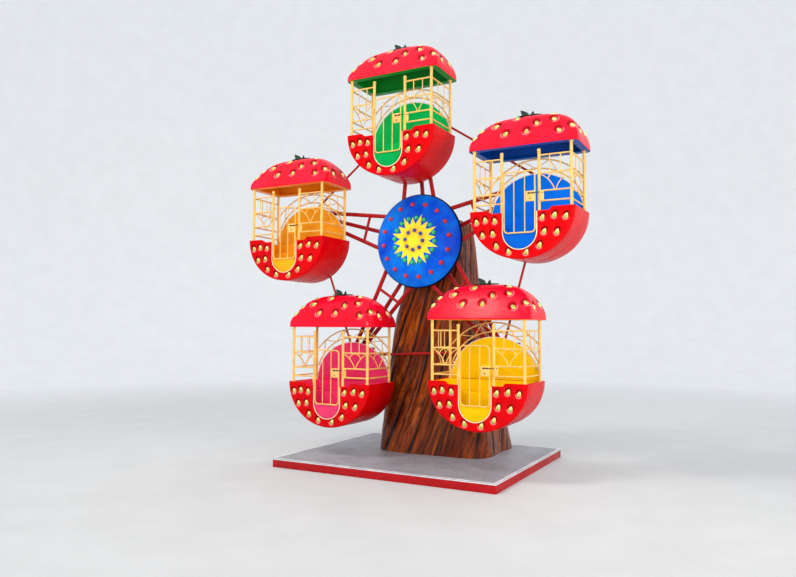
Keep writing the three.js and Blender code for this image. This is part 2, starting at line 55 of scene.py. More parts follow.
COLOURS = ["green", "blue", "yellow", "pink", "orange"]
PIVOTS = {colour: joint_places[f"{colour}_cabin_pivot"] for colour in COLOURS}

# Gap between solids that touch, depth by which a visible piece sinks into its neighbour, and the
# least stretch at a sharp corner of an inset line
SEAT_GAP = 0.0003
OVERLAP = 0.001
LEAST_MITRE = 0.35

# Cabin levels and posts
RIM_Z = -0.445
ROOF_Z = 0.337
FRONT_POST_Y = -0.735
BACK_POST_Y = -0.147
POST_RADIUS = 0.019
FRONT_POST_X = 0.617
BACK_POST_X = 0.626
DOOR_POST_X = {-1: -0.252, 1: 0.223}
DOOR_POST_RADIUS = 0.018
RAIL_Z = [0.2002, -0.0212, -0.2362, -0.3590]
RAIL_RADIUS = 0.010
BALUSTER_RADIUS = 0.0065
ARC_RADIUS = 0.006
FINIAL = {"z": 0.261, "radius": 0.0235}
RAIL_ARC = {"reach": 0.473, "bend": 4 / 3, "below": 0.012}
RAIL_ARCH = {"half": 0.218, "foot": 0.66, "rise": 0.36}

# Tub
TUB_HALF = 0.668
TUB_DROP = 0.612
TUB_WALL = 0.058
TUB_FLOOR = -0.967
TUB_FRONT = -0.774
TUB_BACK = -0.060
TUB_INNER_FRONT = TUB_FRONT + TUB_WALL
TUB_INNER_BACK = TUB_BACK - 0.106
TUB_MID = (TUB_FRONT + TUB_BACK) / 2
TUB_EDGE = {"width": 0.018, "drop": 0.028, "depth": 0.045}
TUB_STEPS = 72
TUB_LIP = 0.006
TUB_SEAM = {"radius": 0.0022, "proud": 0.0008, "shift": 0.05, "skipped": 14}
TUB_STATIONS = (-0.6, -0.2, 0.2, 0.6)
NOTCH_BEAD = 0.0055
RIM_STEPS = 8
STEP_DROP = 0.040
STEP_LEFT = (-0.440, -0.385)
STEP_RIGHT = (0.345, 0.392)
BENCH = {"seat": -0.610, "front": -0.395, "back": -0.1665, "edge": 0.012, "gap": 0.02, "border": 0.03}

# Door and its notch
DOOR_X = -0.015
NOTCH_HALF = 0.217
NOTCH_BOTTOM = RIM_Z - 0.494
DOOR_GAP = 0.006
DOOR_FRONT = -0.768
DOOR_THICK = 0.016
DOOR_TOP = -0.452
GRILLE = {"half": 0.205, "low": -0.745, "high": 0.022, "corner": 0.06, "radius": 0.009, "bar": 0.006}
HINGE = {"x": -0.237, "y": -0.778, "radius": 0.011, "barrel": 0.045, "heights": (-0.12, -0.39)}
# The latch: its height, its plates from the post's middle and the door's edge, the bolt below its top
LATCH = {"low": RAIL_Z[3] - 0.002, "high": RAIL_Z[2] + 0.002, "left": 0.010, "right": 0.062,
         "proud": 0.024, "plate": 0.128, "bolt": 0.028}
SLIDE_BOLT = {"radius": 0.0055, "start": 0.03, "past_post": 0.024, "proud": 0.013, "guides": (0.05, 0.10)}

# Back panel and arches
PANEL = {"front": -0.1277, "back": -0.1087, "half": 0.620, "rise": 0.565}
OUTER_ARCH = (0.770, 0.753)
INNER_ARCH = (0.645, 0.631)
ARCH_REACH = 0.606
ARCH_RADIUS = 0.010
ARCH_STRUTS = 8
STRUT_RADIUS = 0.0065
STRUT_FIRST_TURN = 0.66
BEAM = {"half": 0.350, "back": -0.082, "height": 0.090, "bolts": (-0.31, -0.17, 0.17, 0.31)}
EDGE_LINE = {"radius": 0.0055, "inset": 0.004}
BOSS = {"radius": 0.060, "back": -0.0483}
AXLE = {"radius": 0.030, "back": 0.070}

# Roof
ROOF_MID = -0.406
ROOF_HALF = 0.700
ROOF_HALF_DEPTH = 0.375
ROOF_LIP = 0.014
ROOF_DOME = 0.450
ROOF_WALL = 0.034
ROOF_TOP_WALL = 0.030
FLANGE = 0.097
FLANGE_THICK = 0.018
ROOF_ARCH = (3.6, 0.52)
ROOF_SLOPE = 1.55
ROOF_SHOULDER = 6
ROOF_CREASE = 3.4
ROOF_CORNER = 14
ROOF_COLUMNS = 240
ROOF_ROWS = 168
CEILING_STEP = 4

# Seeds and the dimples they sit in
SEED = {"half": 0.026, "long": 0.041, "proud": 0.012, "low": 0.006, "taper": 0.30, "tip": 0.04}
SEED_SPOT = {"across": 0.22, "along": -0.30, "inner": 0.35, "outer": 0.85}
SEED_RINGS = 9
SEED_SIDES = 14
DIMPLE = {"half": 0.050, "long": 0.061, "depth": 0.020}
# Width of a dimple's wall, steeper above; where its painted shade and the painted highlight on its lower
# lip start, and how soft they are
DIMPLE_WALL = {"beside": 0.62, "tilt": 0.27}
DIMPLE_SHADED = {"from": -0.25, "over": 0.6, "rim": 0.10}
DIMPLE_LIP_HIGHLIGHT = {"from": 0.15, "over": 0.5, "inner": 0.74, "rim": 0.08}
DIMPLE_RINGS = (0.0, 0.14, 0.28, 0.42, 0.55, 0.66, 0.74, 0.81, 0.87, 0.93, 1.0)
DIMPLE_SIDES = 32
DIMPLE_REACH = 0.07
# A roof's dimples are wider than the tub's, and mark only the skin this near to them
ROOF_DIMPLE_SPREAD = 1.3
DIMPLE_NEAR = 0.05
TUB_SEEDS = [
    (-0.580, -0.568), (-0.465, -0.548), (-0.340, -0.565), (-0.500, -0.738), (-0.366, -0.724),
    (-0.320, -0.880), (-0.160, -0.957), (0.270, -0.558), (0.418, -0.540), (0.556, -0.560),
    (0.292, -0.730), (0.447, -0.744), (0.233, -0.893), (0.069, -0.969),
]
TUB_SEED_LEAN = math.radians(17)
# Places on the roof, along it and across it, each from -1 to 1
ROOF_SEEDS_FRONT = [
    (-0.925, -0.66), (-0.826, -0.474), (-0.526, -0.513), (-0.320, -0.721), (0.066, -0.721),
    (-0.153, -0.317), (0.226, -0.564), (0.529, -0.507), (0.653, -0.780), (0.872, -0.670),
]
ROOF_SEEDS_ENDS = [(0.962, -0.300), (0.940, 0.420), (-0.955, -0.2), (-0.94, 0.42)]
ROOF_SEEDS_TOP = [(-0.556, -0.18), (0.468, -0.178), (-0.5, 0.3), (0.48, 0.28)]

# Leaves: columns from edge to edge, reach of those along and across, and the upright ones' place,
# lean, length and width
LEAF_COLUMNS = (-1, -0.6, -0.25, 0, 0.25, 0.6, 1)
LEAF_ROWS = 10
LEAF_THICK = 0.005
LEAF_FOLD = 0.10
LEAF_WIDTH = 0.105
LEAF_LIFT = 0.006
LEAF_REACH = (0.172, 0.212)
UPRIGHT_LEAVES = ((-0.030, -0.95, 0.125, 0.092), (0.040, 0.25, 0.066, 0.056))

# Wheel, from the hub
ARM_Y = 0.012
PIPE_RADIUS = 0.030
FRONT_PIPE = {"inner": (0.276, 0.385), "outer": (0.062, 1.850)}
REAR_PIPE = {"inner": (0.202, 0.140), "outer": (0.062, 1.830)}
TIE_R = 0.920
PIVOT_R = (PIVOTS["green"] - HUB).length
BEARING = {"radius": 0.058, "front": -0.048, "back": 0.082}
ROD_RADIUS = 0.017
ROD_VERTEX_R = 1.978
ROD_END = 0.045
HUB_PLATE = {"radius": 0.520, "front": 0.0423, "back": 0.0623}
HUB_TUBE = {"radius": 0.160, "back": 0.246}
HUB_BOLTS = {"count": 20, "reach": 0.44, "radius": 0.012}
HUB_RIBS = 10
HUB_RIB_HALF = 0.005
HUB_RIB = [(0.158, HUB_PLATE["back"]), (0.30, HUB_PLATE["back"]), (0.158, 0.20)]
SHAFT = {"radius": 0.0948, "back": 0.420}
HOUSING = {"radius": 0.190, "front": 0.2463, "back": 0.470, "bolts": 8, "bolt_reach": 0.165}
STEP_ANGLE = math.radians(72)
START_ANGLE = math.atan2(PIVOTS["green"].x - HUB.x, PIVOTS["green"].z - HUB.z)

# Disc with its star and balls
DISC = {"radius": 0.672, "back": -0.0183, "rim": 0.018, "bulge": 0.150, "fullness": 1.3}
DISC_STEPS = 40
DISC_SIDES = 128
DISC_BEAD = {"reach": 0.997, "radius": 0.007, "front": 0.010}
STAR_TURN = math.radians(17)
STAR_POINTS = 16
STAR_ROWS = 14
STAR_PROUD = 0.004
STAR_GLOW = {"reach": 0.20, "inner": 0.02, "outer": 0.10}
BALL_PROUD = 0.45
# A washer under each ball, painted dark as the shade round the ball's foot
FOOT_SHADE_WASHER = {"share": 1.12, "front": -0.004, "back": 0.012}
STAR_LONG = 0.560
STAR_SHORT = 0.493
STAR_VALLEY = 0.335
DISC_EDGE = 0.014
BALL_RINGS = [
    {"count": 16, "reach": 0.770, "radius": 0.031, "turn": 0.0, "paint": "ball_red"},
    {"count": 16, "reach": 0.473, "radius": 0.031, "turn": 0.5, "paint": "ball_green"},
    {"count": 8, "reach": 0.203, "radius": 0.0275, "turn": 0.76, "paint": "ball_blue"},
]

# Trunk sections: height, middle, half width, front and back from the hub's line
TRUNK_SECTIONS = [
    (0.1206, 0.070, 0.905, 0.000, 1.490), (0.420, 0.060, 0.860, 0.025, 1.470),
    (1.000, 0.030, 0.755, 0.100, 1.430), (1.700, 0.010, 0.670, 0.180, 1.390),
    (2.100, -0.005, 0.605, 0.221, 1.350), (2.450, 0.000, 0.515, 0.257, 1.260),
    (3.100, 0.005, 0.455, 0.298, 1.190), (3.490, 0.005, 0.415, 0.310, 1.140),
]
TRUNK_SQUARENESS = 4.5
TRUNK_LOBE = 0.035
TRUNK_COLUMNS = 460
TRUNK_ROWS = 160
# The bark's bands lean from the upright and fill an even girth: pitch, width, depth share, shift round
BARK_LEAN = 0.32
BARK_GIRTH = 5.4
BARK_DEPTH = 0.016
BARK_BANDS = ((0.18, 0.044, 1.0, 0.0), (0.12, 0.018, 0.6, 0.4), (0.06, 0.006, 0.2, 0.1))
# Its paint is wound round the trunk's axis by as much, in radians a metre
BARK_TWIST = 2 * math.pi * math.tan(BARK_LEAN) / BARK_GIRTH
TRUNK_AXIS_Y = 0.8

# Platform
PLATFORM = {"beam": 0.100, "cells": (5, 4), "sheet": 0.003, "strip": 0.012}
DECK_STRIP = {"wide": 0.034, "thick": 0.003, "screws": 0.4}
LUG = {"pitch": 0.062, "border": 0.045, "long": 0.021, "wide": 0.0055, "proud": 0.0022}

# Colour of the painted highlight on a dimple's lower lip, glow of the wall behind, and light from the sky
LIP_HIGHLIGHT_COLOUR = (1.0, 0.42, 0.44)
BACKDROP_GLOW = 0.30
SKY_COLOUR = (0.86, 0.93, 1.0, 1)


# Mesh building

def smooth_step(value, low=0.0, high=1.0):
    share = min(max((value - low) / (high - low), 0.0), 1.0)
    return share * share * (3 - 2 * share)


def even_turns(count, shift=0.0):
    """Angles spread evenly round a whole turn."""
    return [2 * math.pi * (k + shift) / count for k in range(count)]


def arc_turns(steps, whole=math.pi):
    """Angles from zero to the end of an arc, both with it."""
    return [whole * k / steps for k in range(steps + 1)]


def clock_place(radius, turn, y):
    """A place round the wheel's axis, its turn counted clockwise from the top."""
    return radius * math.sin(turn), y, radius * math.cos(turn)


def path_direction(path, k, closed):
    last = len(path) - 1
    before = path[k - 1] if k > 0 or closed else path[k]
    after = path[(k + 1) % len(path)] if k < last or closed else path[k]
    return (after - before).normalized()


def offset_loop(loop, distance):
    """A closed loop of (x, z) points moved inwards by a distance."""
    area = sum(a[0] * b[1] - b[0] * a[1] for a, b in zip(loop, loop[1:] + loop[:1]))
    side = 1 if area > 0 else -1
    moved = []
    for k, (x, z) in enumerate(loop):
        before, after = loop[k - 1], loop[(k + 1) % len(loop)]
        first = Vector((x - before[0], z - before[1])).normalized()
        second = Vector((after[0] - x, after[1] - z)).normalized()
        normal = Vector((-first.y - second.y, first.x + second.x)).normalized()
        stretch = max(normal.dot(Vector((-first.y, first.x))), LEAST_MITRE)
        moved.append((x + side * distance * normal.x / stretch, z + side * distance * normal.y / stretch))
    return moved


def inside_loops(x, z, loops):
    """Even-odd test of a point against closed loops."""
    inside = False
    for loop in loops:
        for (ax, az), (bx, bz) in zip(loop, loop[1:] + loop[:1]):
            if (az > z) != (bz > z) and x < ax + (bx - ax) * (z - az) / (bz - az):
                inside = not inside
    return inside


def fill(loops, extra=()):
    """Triangles between closed loops of (x, z) points, through extra points inside."""
    points, edges = [], []
    for loop in loops:
        start = len(points)
        points += [Vector(point) for point in loop]
        edges += [(start + k, start + (k + 1) % len(loop)) for k in range(len(loop))]
    points += [Vector(point) for point in extra]
    flat, _, triangles, *_ = delaunay_2d_cdt(points, edges, [], 0, 1e-6)
    kept = []
    for triangle in triangles:
        x = sum(flat[i].x for i in triangle) / 3
        z = sum(flat[i].y for i in triangle) / 3
        if inside_loops(x, z, loops):
            kept.append(list(triangle))
    return [(p.x, p.y) for p in flat], kept


class Piece:
    """Points and faces gathered for one mesh, each face with the place of its material."""

    def __init__(self):
        self.points = []
        self.faces = []
        self.places = []
        self.values = []

    def add(self, points, faces, place=0, values=None):
        start = len(self.points)
        self.points += [tuple(point) for point in points]
        self.faces += [[start + i for i in face] for face in faces]
        self.places += [place] * len(faces)
        self.values += list(values) if values is not None else [0.0] * len(points)

    def grid(self, rows, place=0, around=False, capped=False, values=None):
        """Quads between rows of points; around closes each row, capped closes the first and last."""
        count = len(rows[0])
        points = [point for row in rows for point in row]
        faces = []
        for low in range(0, (len(rows) - 1) * count, count):
            for k in range(count if around else count - 1):
                after = (k + 1) % count
                faces.append((low + k, low + after, low + count + after, low + count + k))
        if capped:
            last = (len(rows) - 1) * count
            faces.append(tuple(range(count - 1, -1, -1)))
            faces.append(tuple(last + k for k in range(count)))
        self.add(points, faces, place, values)

    def tube(self, path, radius, place=0, sides=12, closed=False):
        """A round tube along a path."""
        path = [Vector(point) for point in path]
        side = path_direction(path, 0, closed).orthogonal().normalized()
        rows = []
        for k, point in enumerate(path):
            along = path_direction(path, k, closed)
            side = (side - along * side.dot(along)).normalized()
            other = along.cross(side)
            rows.append([point + radius * (math.cos(turn) * side + math.sin(turn) * other)
                         for turn in even_turns(sides)])
        if closed:
            first = rows[0]
            shift = min(range(sides), key=lambda s: (first[s] - rows[-1][0]).length)
            rows.append(first[shift:] + first[:shift])
        self.grid(rows, place, around=True, capped=not closed)

    def lathe(self, profile, centre, axis="y", place=0, sides=24):
        """A body of revolution; the profile holds (radius, along) pairs, and small radii close it."""
        rows = []
        for radius, along in profile:
            row = []
            for turn in even_turns(sides):
                c, d = radius * math.cos(turn), radius * math.sin(turn)
                offset = {"y": (c, along, d), "z": (c, d, along), "x": (along, c, d)}[axis]
                row.append(Vector(centre) + Vector(offset))
            rows.append(row)
        self.grid(rows, place, around=True, capped=True)

    def drum(self, centre, radius, low, high, axis="y", place=0, sides=24, edge=0.002):
        """A cylinder along an axis with rounded edges."""
        edge = min(edge, radius * 0.4, (high - low) * 0.4)
        self.lathe([
            (radius - edge, low), (radius - edge * 0.3, low + edge * 0.3), (radius, low + edge),
            (radius, high - edge), (radius - edge * 0.3, high - edge * 0.3), (radius - edge, high),
        ], centre, axis, place, sides)

    def ball(self, centre, radius, place=0, rings=8, sides=14):
        profile = [(radius * math.sin(turn), -radius * math.cos(turn)) for turn in arc_turns(rings)]
        profile[0] = (radius * 0.02, -radius)
        profile[-1] = (radius * 0.02, radius)
        self.lathe(profile, centre, "z", place, sides)

    def slab(self, loops, front, back, place=0, edge=0.003, side_place=None, back_place=None):
        """Closed loops in X and Z made solid along Y, with rounded edges; later loops are holes."""
        side_place = place if side_place is None else side_place
        back_place = place if back_place is None else back_place
        insets = [offset_loop(loop, -edge if number else edge) for number, loop in enumerate(loops)]
        for loop, inset in zip(loops, insets):
            middle = [(x * 0.3 + a * 0.7, z * 0.3 + b * 0.7) for (x, z), (a, b) in zip(inset, loop)]
            levels = [(inset, front), (middle, front + edge * 0.3), (loop, front + edge),
                      (loop, back - edge), (inset, back)]
            rows = [[(x, y, z) for x, z in line] for line, y in levels]
            self.grid(rows, side_place, around=True)
        flat, triangles = fill(insets)
        self.add([(x, front, z) for x, z in flat], triangles, place)
        self.add([(x, back, z) for x, z in flat], triangles, back_place)

    def block(self, low, high, place=0, edge=0.003):
        """A box with rounded edges."""
        (x0, y0, z0), (x1, y1, z1) = low, high
        edge = min(edge, (x1 - x0) * 0.3, (z1 - z0) * 0.3, (y1 - y0) * 0.3)
        self.slab([[(x0, z0), (x1, z0), (x1, z1), (x0, z1)]], y0, y1, place, edge)

    def bolt(self, centre, radius, axis="y", side=-1, place=0):
        """A hexagon head on a washer; side is the way that it faces along the axis."""
        reach = radius * 0.8 * side
        self.drum(centre, radius * 1.5, *sorted((0, reach * 0.25)), axis, place, 16, radius * 0.1)
        self.drum(centre, radius, *sorted((0, reach)), axis, place, 6, radius * 0.15)

    def turned(self, angle):
        """The same piece turned about the hub's axis, clockwise seen from the front."""
        copy = Piece()
        c, s = math.cos(angle), math.sin(angle)
        copy.points = [(x * c + z * s, y, z * c - x * s) for x, y, z in self.points]
        copy.faces, copy.places, copy.values = self.faces, self.places, self.values
        return copy

    def mesh(self, name, sharp=38):
        mesh = bpy.data.meshes.new(name)
        mesh.from_pydata(self.points, [], self.faces)
        mesh.polygons.foreach_set("material_index", self.places)
        attribute = mesh.attributes.new("shade", "FLOAT", "POINT")
        attribute.data.foreach_set("value", self.values)
        work = bmesh.new()
        work.from_mesh(mesh)
        bmesh.ops.remove_doubles(work, verts=work.verts, dist=1e-5)
        bmesh.ops.recalc_face_normals(work, faces=work.faces)
        for face in work.faces:
            face.smooth = True
        work.to_mesh(mesh)
        work.free()
        mesh.set_sharp_from_angle(angle=math.radians(sharp))
        return mesh


def show(mesh, name, materials, body, place=(0, 0, 0), nodes=()):
    """Puts a mesh in the scene on a body, in the given place."""
    thing = bpy.data.objects.new(name, mesh)
    bpy.context.scene.collection.objects.link(thing)
    for material in materials:
        mesh.materials.append(PAINTS[material])
    mesh.transform(Matrix.Translation(place))
    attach(thing, body)
    if nodes:
        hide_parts(*nodes)
    return thing


# Materials

def node(tree, kind, **inputs):
    made = tree.nodes.new(kind)
    for name, value in inputs.items():
        if hasattr(made, name) and name not in made.inputs:
            setattr(made, name, value)
        else:
            made.inputs[name.replace("_", " ")].default_value = value
    return made


def wound(tree, place, twist):
    """A place wound back round the trunk's axis by its height times the twist, in radians a metre."""
    parts = tree.nodes.new("ShaderNodeSeparateXYZ")
    tree.links.new(place, parts.inputs["Vector"])
    turn = node(tree, "ShaderNodeMath", operation="MULTIPLY")
    turn.inputs[1].default_value = -twist
    tree.links.new(parts.outputs["Z"], turn.inputs[0])
    turned = node(tree, "ShaderNodeVectorRotate", rotation_type="Z_AXIS")
    turned.inputs["Center"].default_value = (0, TRUNK_AXIS_Y, 0)
    tree.links.new(place, turned.inputs["Vector"])
    tree.links.new(turn.outputs["Value"], turned.inputs["Angle"])
    return turned.outputs["Vector"]


def noise(tree, scale, detail=4.0, stretch=(1, 1, 1), twist=0.0):
    """Noise in the piece's own space, stretched along its axes, and wound round the trunk by a twist."""
    place = tree.nodes.new("ShaderNodeTexCoord").outputs["Object"]
    if twist:
        place = wound(tree, place, twist)
    mapping = tree.nodes.new("ShaderNodeMapping")
    mapping.vector_type = "TEXTURE"
    mapping.inputs["Scale"].default_value = [1 / share for share in stretch]
    tree.links.new(place, mapping.inputs["Vector"])
    made = node(tree, "ShaderNodeTexNoise", Scale=scale, Detail=detail, Roughness=0.6)
    tree.links.new(mapping.outputs["Vector"], made.inputs["Vector"])
    return made.outputs["Fac"]


def ramp(tree, value, low, high, low_out=0.0, high_out=1.0):
    """The value spread from its low and high marks to two outputs."""
    made = tree.nodes.new("ShaderNodeMapRange")
    made.interpolation_type = "SMOOTHSTEP"
    for name, number in (("From Min", low), ("From Max", high), ("To Min", low_out), ("To Max", high_out)):
        made.inputs[name].default_value = number
    tree.links.new(value, made.inputs["Value"])
    return made.outputs["Result"]


def mix(tree, share, first, second):
    """Two colours mixed by a share; each is a colour or another mix."""
    made = tree.nodes.new("ShaderNodeMix")
    made.data_type = "RGBA"
    tree.links.new(share, made.inputs["Factor"])
    for socket, colour in ((made.inputs[6], first), (made.inputs[7], second)):
        if isinstance(colour, tuple):
            socket.default_value = (*colour, 1)
        else:
            tree.links.new(colour, socket)
    return made.outputs[2]


def shade(tree):
    made = tree.nodes.new("ShaderNodeAttribute")
    made.attribute_name = "shade"
    return made.outputs["Fac"]


def scaled(colour, factor):
    return tuple(min(channel * factor, 1.0) for channel in colour)


def paint(name, colour, layers, rough, bump, **sockets):
    """A material of layers over a base colour, with uneven roughness, a fine bump and the shader's values.

    A layer holds its noise, or None to follow the piece's shade values, how that is spread, and its colour.
    """
    material = bpy.data.materials.new(name)
    material.use_nodes = True
    tree = material.node_tree
    shader = tree.nodes["Principled BSDF"]
    tone = colour
    for grain, spread, cover in layers:
        share = noise(tree, *grain) if grain else shade(tree)
        if spread:
            share = ramp(tree, share, *spread)
        tone = mix(tree, share, tone, cover)
    tree.links.new(tone, shader.inputs["Base Color"])
    if rough:
        grain, spread = rough
        tree.links.new(ramp(tree, noise(tree, *grain), *spread), shader.inputs["Roughness"])
    grain, height = bump
    made = node(tree, "ShaderNodeBump", Strength=1.0, Distance=height)
    tree.links.new(noise(tree, *grain), made.inputs["Height"])
    tree.links.new(made.outputs["Normal"], shader.inputs["Normal"])
    for socket, value in sockets.items():
        shader.inputs[socket.replace("_", " ")].default_value = value
    return material


def gelcoat(name, colour, faded=None, roughness=0.22, coat=0.08, gloss=0.05):
    """Glossy glass-fibre paint: cloudy patches, rain streaks, flecks, painted shade in dimples' tops and
    under balls, and a painted highlight on dimples' lower lips.
    """
    return paint(name, colour, [
        ((2.3, 3.0), (0.35, 0.7), faded or scaled(colour, 0.86)),
        ((7.0, 5.0, (3.0, 3.0, 0.35)), (0.52, 0.78, 0.0, 0.16), scaled(colour, 0.62)),
        ((160.0, 2.0), (0.70, 0.78, 0.0, 0.25), scaled(colour, 0.45)),
        # Painted shade: positive shade values darken the colour, in the dimples' tops and on the balls'
        # washers
        (None, (0.0, 1.0, 0.0, 0.9), scaled(colour, 0.36)),
        # Painted highlight: negative shade values turn the dimples' lower lips pale pink
        (None, (-1.0, 0.0, 0.55, 0.0), LIP_HIGHLIGHT_COLOUR),
    ], ((5.0, 6.0), (0.3, 0.75, roughness, roughness + 0.16)), ((80.0, 3.0), 0.00025),
        Specular_IOR_Level=gloss, Coat_Weight=coat, Coat_Roughness=0.06)


def enamel(name, colour, worn, roughness):
    """Painted steel tube: uneven brush coat, grime, small worn chips, duller patches."""
    return paint(name, colour, [
        ((9.0, 4.0), (0.35, 0.7), scaled(colour, 0.82)),
        ((24.0, 6.0), (0.55, 0.8, 0.0, 0.4), scaled(colour, 0.55)),
        ((70.0, 8.0), (0.72, 0.75), worn),
    ], ((12.0, 5.0), (0.3, 0.75, roughness, roughness + 0.2)), ((90.0, 4.0), 0.0006),
        Specular_IOR_Level=0.15, Coat_Weight=0.2, Coat_Roughness=0.12)


def steel(name, colour, roughness, scratch=(40.0, 1.0, 1.0), metallic=0.85):
    """Bare, plated or painted steel with fine scratches and dull patches."""
    return paint(name, colour, [
        ((4.0, 5.0), (0.3, 0.7), scaled(colour, 0.72)),
        ((12.0, 4.0, scratch), (0.55, 0.75, 0.0, 0.5), scaled(colour, 1.25)),
    ], ((18.0, 6.0), (0.3, 0.75, roughness, roughness + 0.22)), ((120.0, 3.0), 0.0004), Metallic=metallic)


def two_tone(name, first, second, roughness=0.3):
    """Glossy paint that runs from one colour to another by the piece's shade values."""
    return paint(name, first, [
        (None, None, second),
        ((30.0, 4.0), (0.45, 0.75, 0.0, 0.35), scaled(second, 0.7)),
    ], ((20.0, 4.0), (0.3, 0.7, roughness, roughness + 0.15)), ((120.0, 3.0), 0.0006),
        Coat_Weight=0.4, Coat_Roughness=0.1)


def bark(name, colour):
    """Painted bark: red-brown and orange-brown bands, near-black grooves, leaning fibres, a glossy coat."""

    def fibres(scale, detail, share):
        """Noise that is drawn out along the bark's lean."""
        return scale, detail, (1.0, 1.0, share), BARK_TWIST

    return paint(name, colour, [
        (fibres(3.4, 3.0, 0.22), (0.36, 0.62), (0.130, 0.018, 0.004)),
        (fibres(9.0, 4.0, 0.10), (0.54, 0.72, 0.0, 0.75), (0.560, 0.140, 0.016)),
        (fibres(30.0, 6.0, 0.05), (0.46, 0.66, 0.0, 0.8), (0.030, 0.006, 0.003)),
        (None, None, (0.005, 0.002, 0.002)),
    ], ((8.0, 5.0), (0.3, 0.7, 0.14, 0.38)), (fibres(34.0, 8.0, 0.07), 0.0014),
        Specular_IOR_Level=0.08, Coat_Weight=0.2, Coat_Roughness=0.10)


def backdrop(name, colour):
    """Pale matt floor that grows brighter where it rises into the backdrop."""
    material = paint(name, colour, [((1.5, 5.0), (0.3, 0.7), (0.57, 0.57, 0.565))], None,
                     ((60.0, 5.0), 0.0005), Roughness=0.8, Emission_Color=(0.93, 0.96, 1.0, 1))
    tree = material.node_tree
    glow = ramp(tree, shade(tree), 0.0, 1.0, 0.0, BACKDROP_GLOW)
    tree.links.new(glow, tree.nodes["Principled BSDF"].inputs["Emission Strength"])
    return material


# Each cabin's own colour on its panel and bench, and copies of it for its door and its ceiling, most of
# them darkened as painted shade
ACCENT_USES = ("panel", "door", "ceiling")
ACCENT_AND_SHADED_TONES = {
    "green": [(0.000, 0.560, 0.105), (0.000, 0.330, 0.065), (0.000, 0.250, 0.020)],
    "blue": [(0.000, 0.190, 0.880), (0.000, 0.105, 0.530), (0.000, 0.070, 0.400)],
    "yellow": [(1.000, 0.620, 0.000), (0.900, 0.490, 0.000), (1.000, 0.480, 0.000)],
    "pink": [(0.980, 0.045, 0.170), (0.820, 0.045, 0.150), (0.850, 0.030, 0.120)],
    "orange": [(1.000, 0.400, 0.014), (1.000, 0.400, 0.010), (1.000, 0.290, 0.000)],
}
PAINTS = {name: recipe(name, *values) for name, recipe, *values in [
    ("shell_red", gelcoat, (0.660, 0.000, 0.002)),
    ("roof_red", gelcoat, (0.820, 0.001, 0.016), (0.860, 0.005, 0.030), 0.2, 0.14, 0.08),
    ("pipe_red", enamel, (0.400, 0.006, 0.008), (0.16, 0.06, 0.05), 0.28),
    ("platform_red", enamel, (0.420, 0.002, 0.005), (0.20, 0.07, 0.05), 0.32),
    ("gold", enamel, (0.880, 0.520, 0.140), (0.42, 0.30, 0.15), 0.34),
    ("cream", enamel, (0.880, 0.800, 0.520), (0.50, 0.42, 0.25), 0.35),
    ("white_edge", enamel, (0.900, 0.830, 0.760), (0.6, 0.5, 0.45), 0.35),
    ("seed", two_tone, (0.900, 0.820, 0.330), (0.270, 0.440, 0.030)),
    ("leaf", two_tone, (0.002, 0.018, 0.008), (0.006, 0.050, 0.018)),
    ("disc_blue", gelcoat, (0.000, 0.060, 0.640), (0.000, 0.210, 0.820), 0.14, 0.15, 0.06),
    ("disc_edge", gelcoat, (0.002, 0.006, 0.030)),
    ("star", two_tone, (1.000, 0.790, 0.002), (1.000, 0.560, 0.002), 0.25),
    ("ball_red", gelcoat, (0.600, 0.004, 0.016), None, 0.12, 1.0, 0.5),
    ("ball_green", gelcoat, (0.000, 0.520, 0.190), None, 0.12, 1.0, 0.5),
    ("ball_blue", gelcoat, (0.010, 0.050, 0.350), None, 0.12, 1.0, 0.5),
    ("bark", bark, (0.340, 0.058, 0.005)),
    ("deck", steel, (0.36, 0.36, 0.39), 0.42, (30.0, 1.0, 1.0), 0.15),
    ("tread", steel, (0.50, 0.50, 0.53), 0.34, (30.0, 30.0, 1.0), 0.3),
    ("deck_strip", steel, (0.80, 0.80, 0.82), 0.35, (2.0, 2.0, 30.0), 0.2),
    ("zinc", steel, (0.62, 0.63, 0.64), 0.3, (1.0, 1.0, 20.0)),
    ("dark_steel", steel, (0.10, 0.095, 0.09), 0.4),
    ("backdrop", backdrop, (0.60, 0.60, 0.595)),
]}
for colour, tones in ACCENT_AND_SHADED_TONES.items():
    for use, tone in zip(ACCENT_USES, tones):
        PAINTS[f"{use}_{colour}"] = gelcoat(f"{use}_{colour}", tone, roughness=0.26)


# Seeds and dimples

def dimple_place(across, along):
    """A place's distance from the dimple's middle, as a share, and how far up it lies, -1 to 1."""
    across, along = across / DIMPLE["half"], along / DIMPLE["long"]
    share = np.hypot(across, along)
    return share, along / np.maximum(share, 1e-6)


def dimple_depth(across, along):
    """How deep the dimple is at places counted from its middle: steep above, gentle below."""
    share, upward = dimple_place(across, along)
    rise = np.clip((1 - share) / (DIMPLE_WALL["beside"] - DIMPLE_WALL["tilt"] * upward), 0, 1)
    return DIMPLE["depth"] * rise * rise * (3 - 2 * rise)


def dimple_shade_and_highlight(across, along):
    """Painted shade and highlight of the dimple, counted from its middle: 1 for painted shade in its top,
    -1 for a painted highlight on its lower lip.
    """
    share, upward = dimple_place(across, along)

    def fade(value, width):
        return np.clip(value / width, 0, 1)

    shaded, lip = DIMPLE_SHADED, DIMPLE_LIP_HIGHLIGHT
    # Painted shade in the top, and a painted highlight on the lower lip
    dark = fade(upward - shaded["from"], shaded["over"]) * fade(1 - share, shaded["rim"])
    pale = fade(-upward - lip["from"], lip["over"]) * fade(share - lip["inner"], lip["rim"])
    return dark - pale * fade(1 - share, lip["rim"])


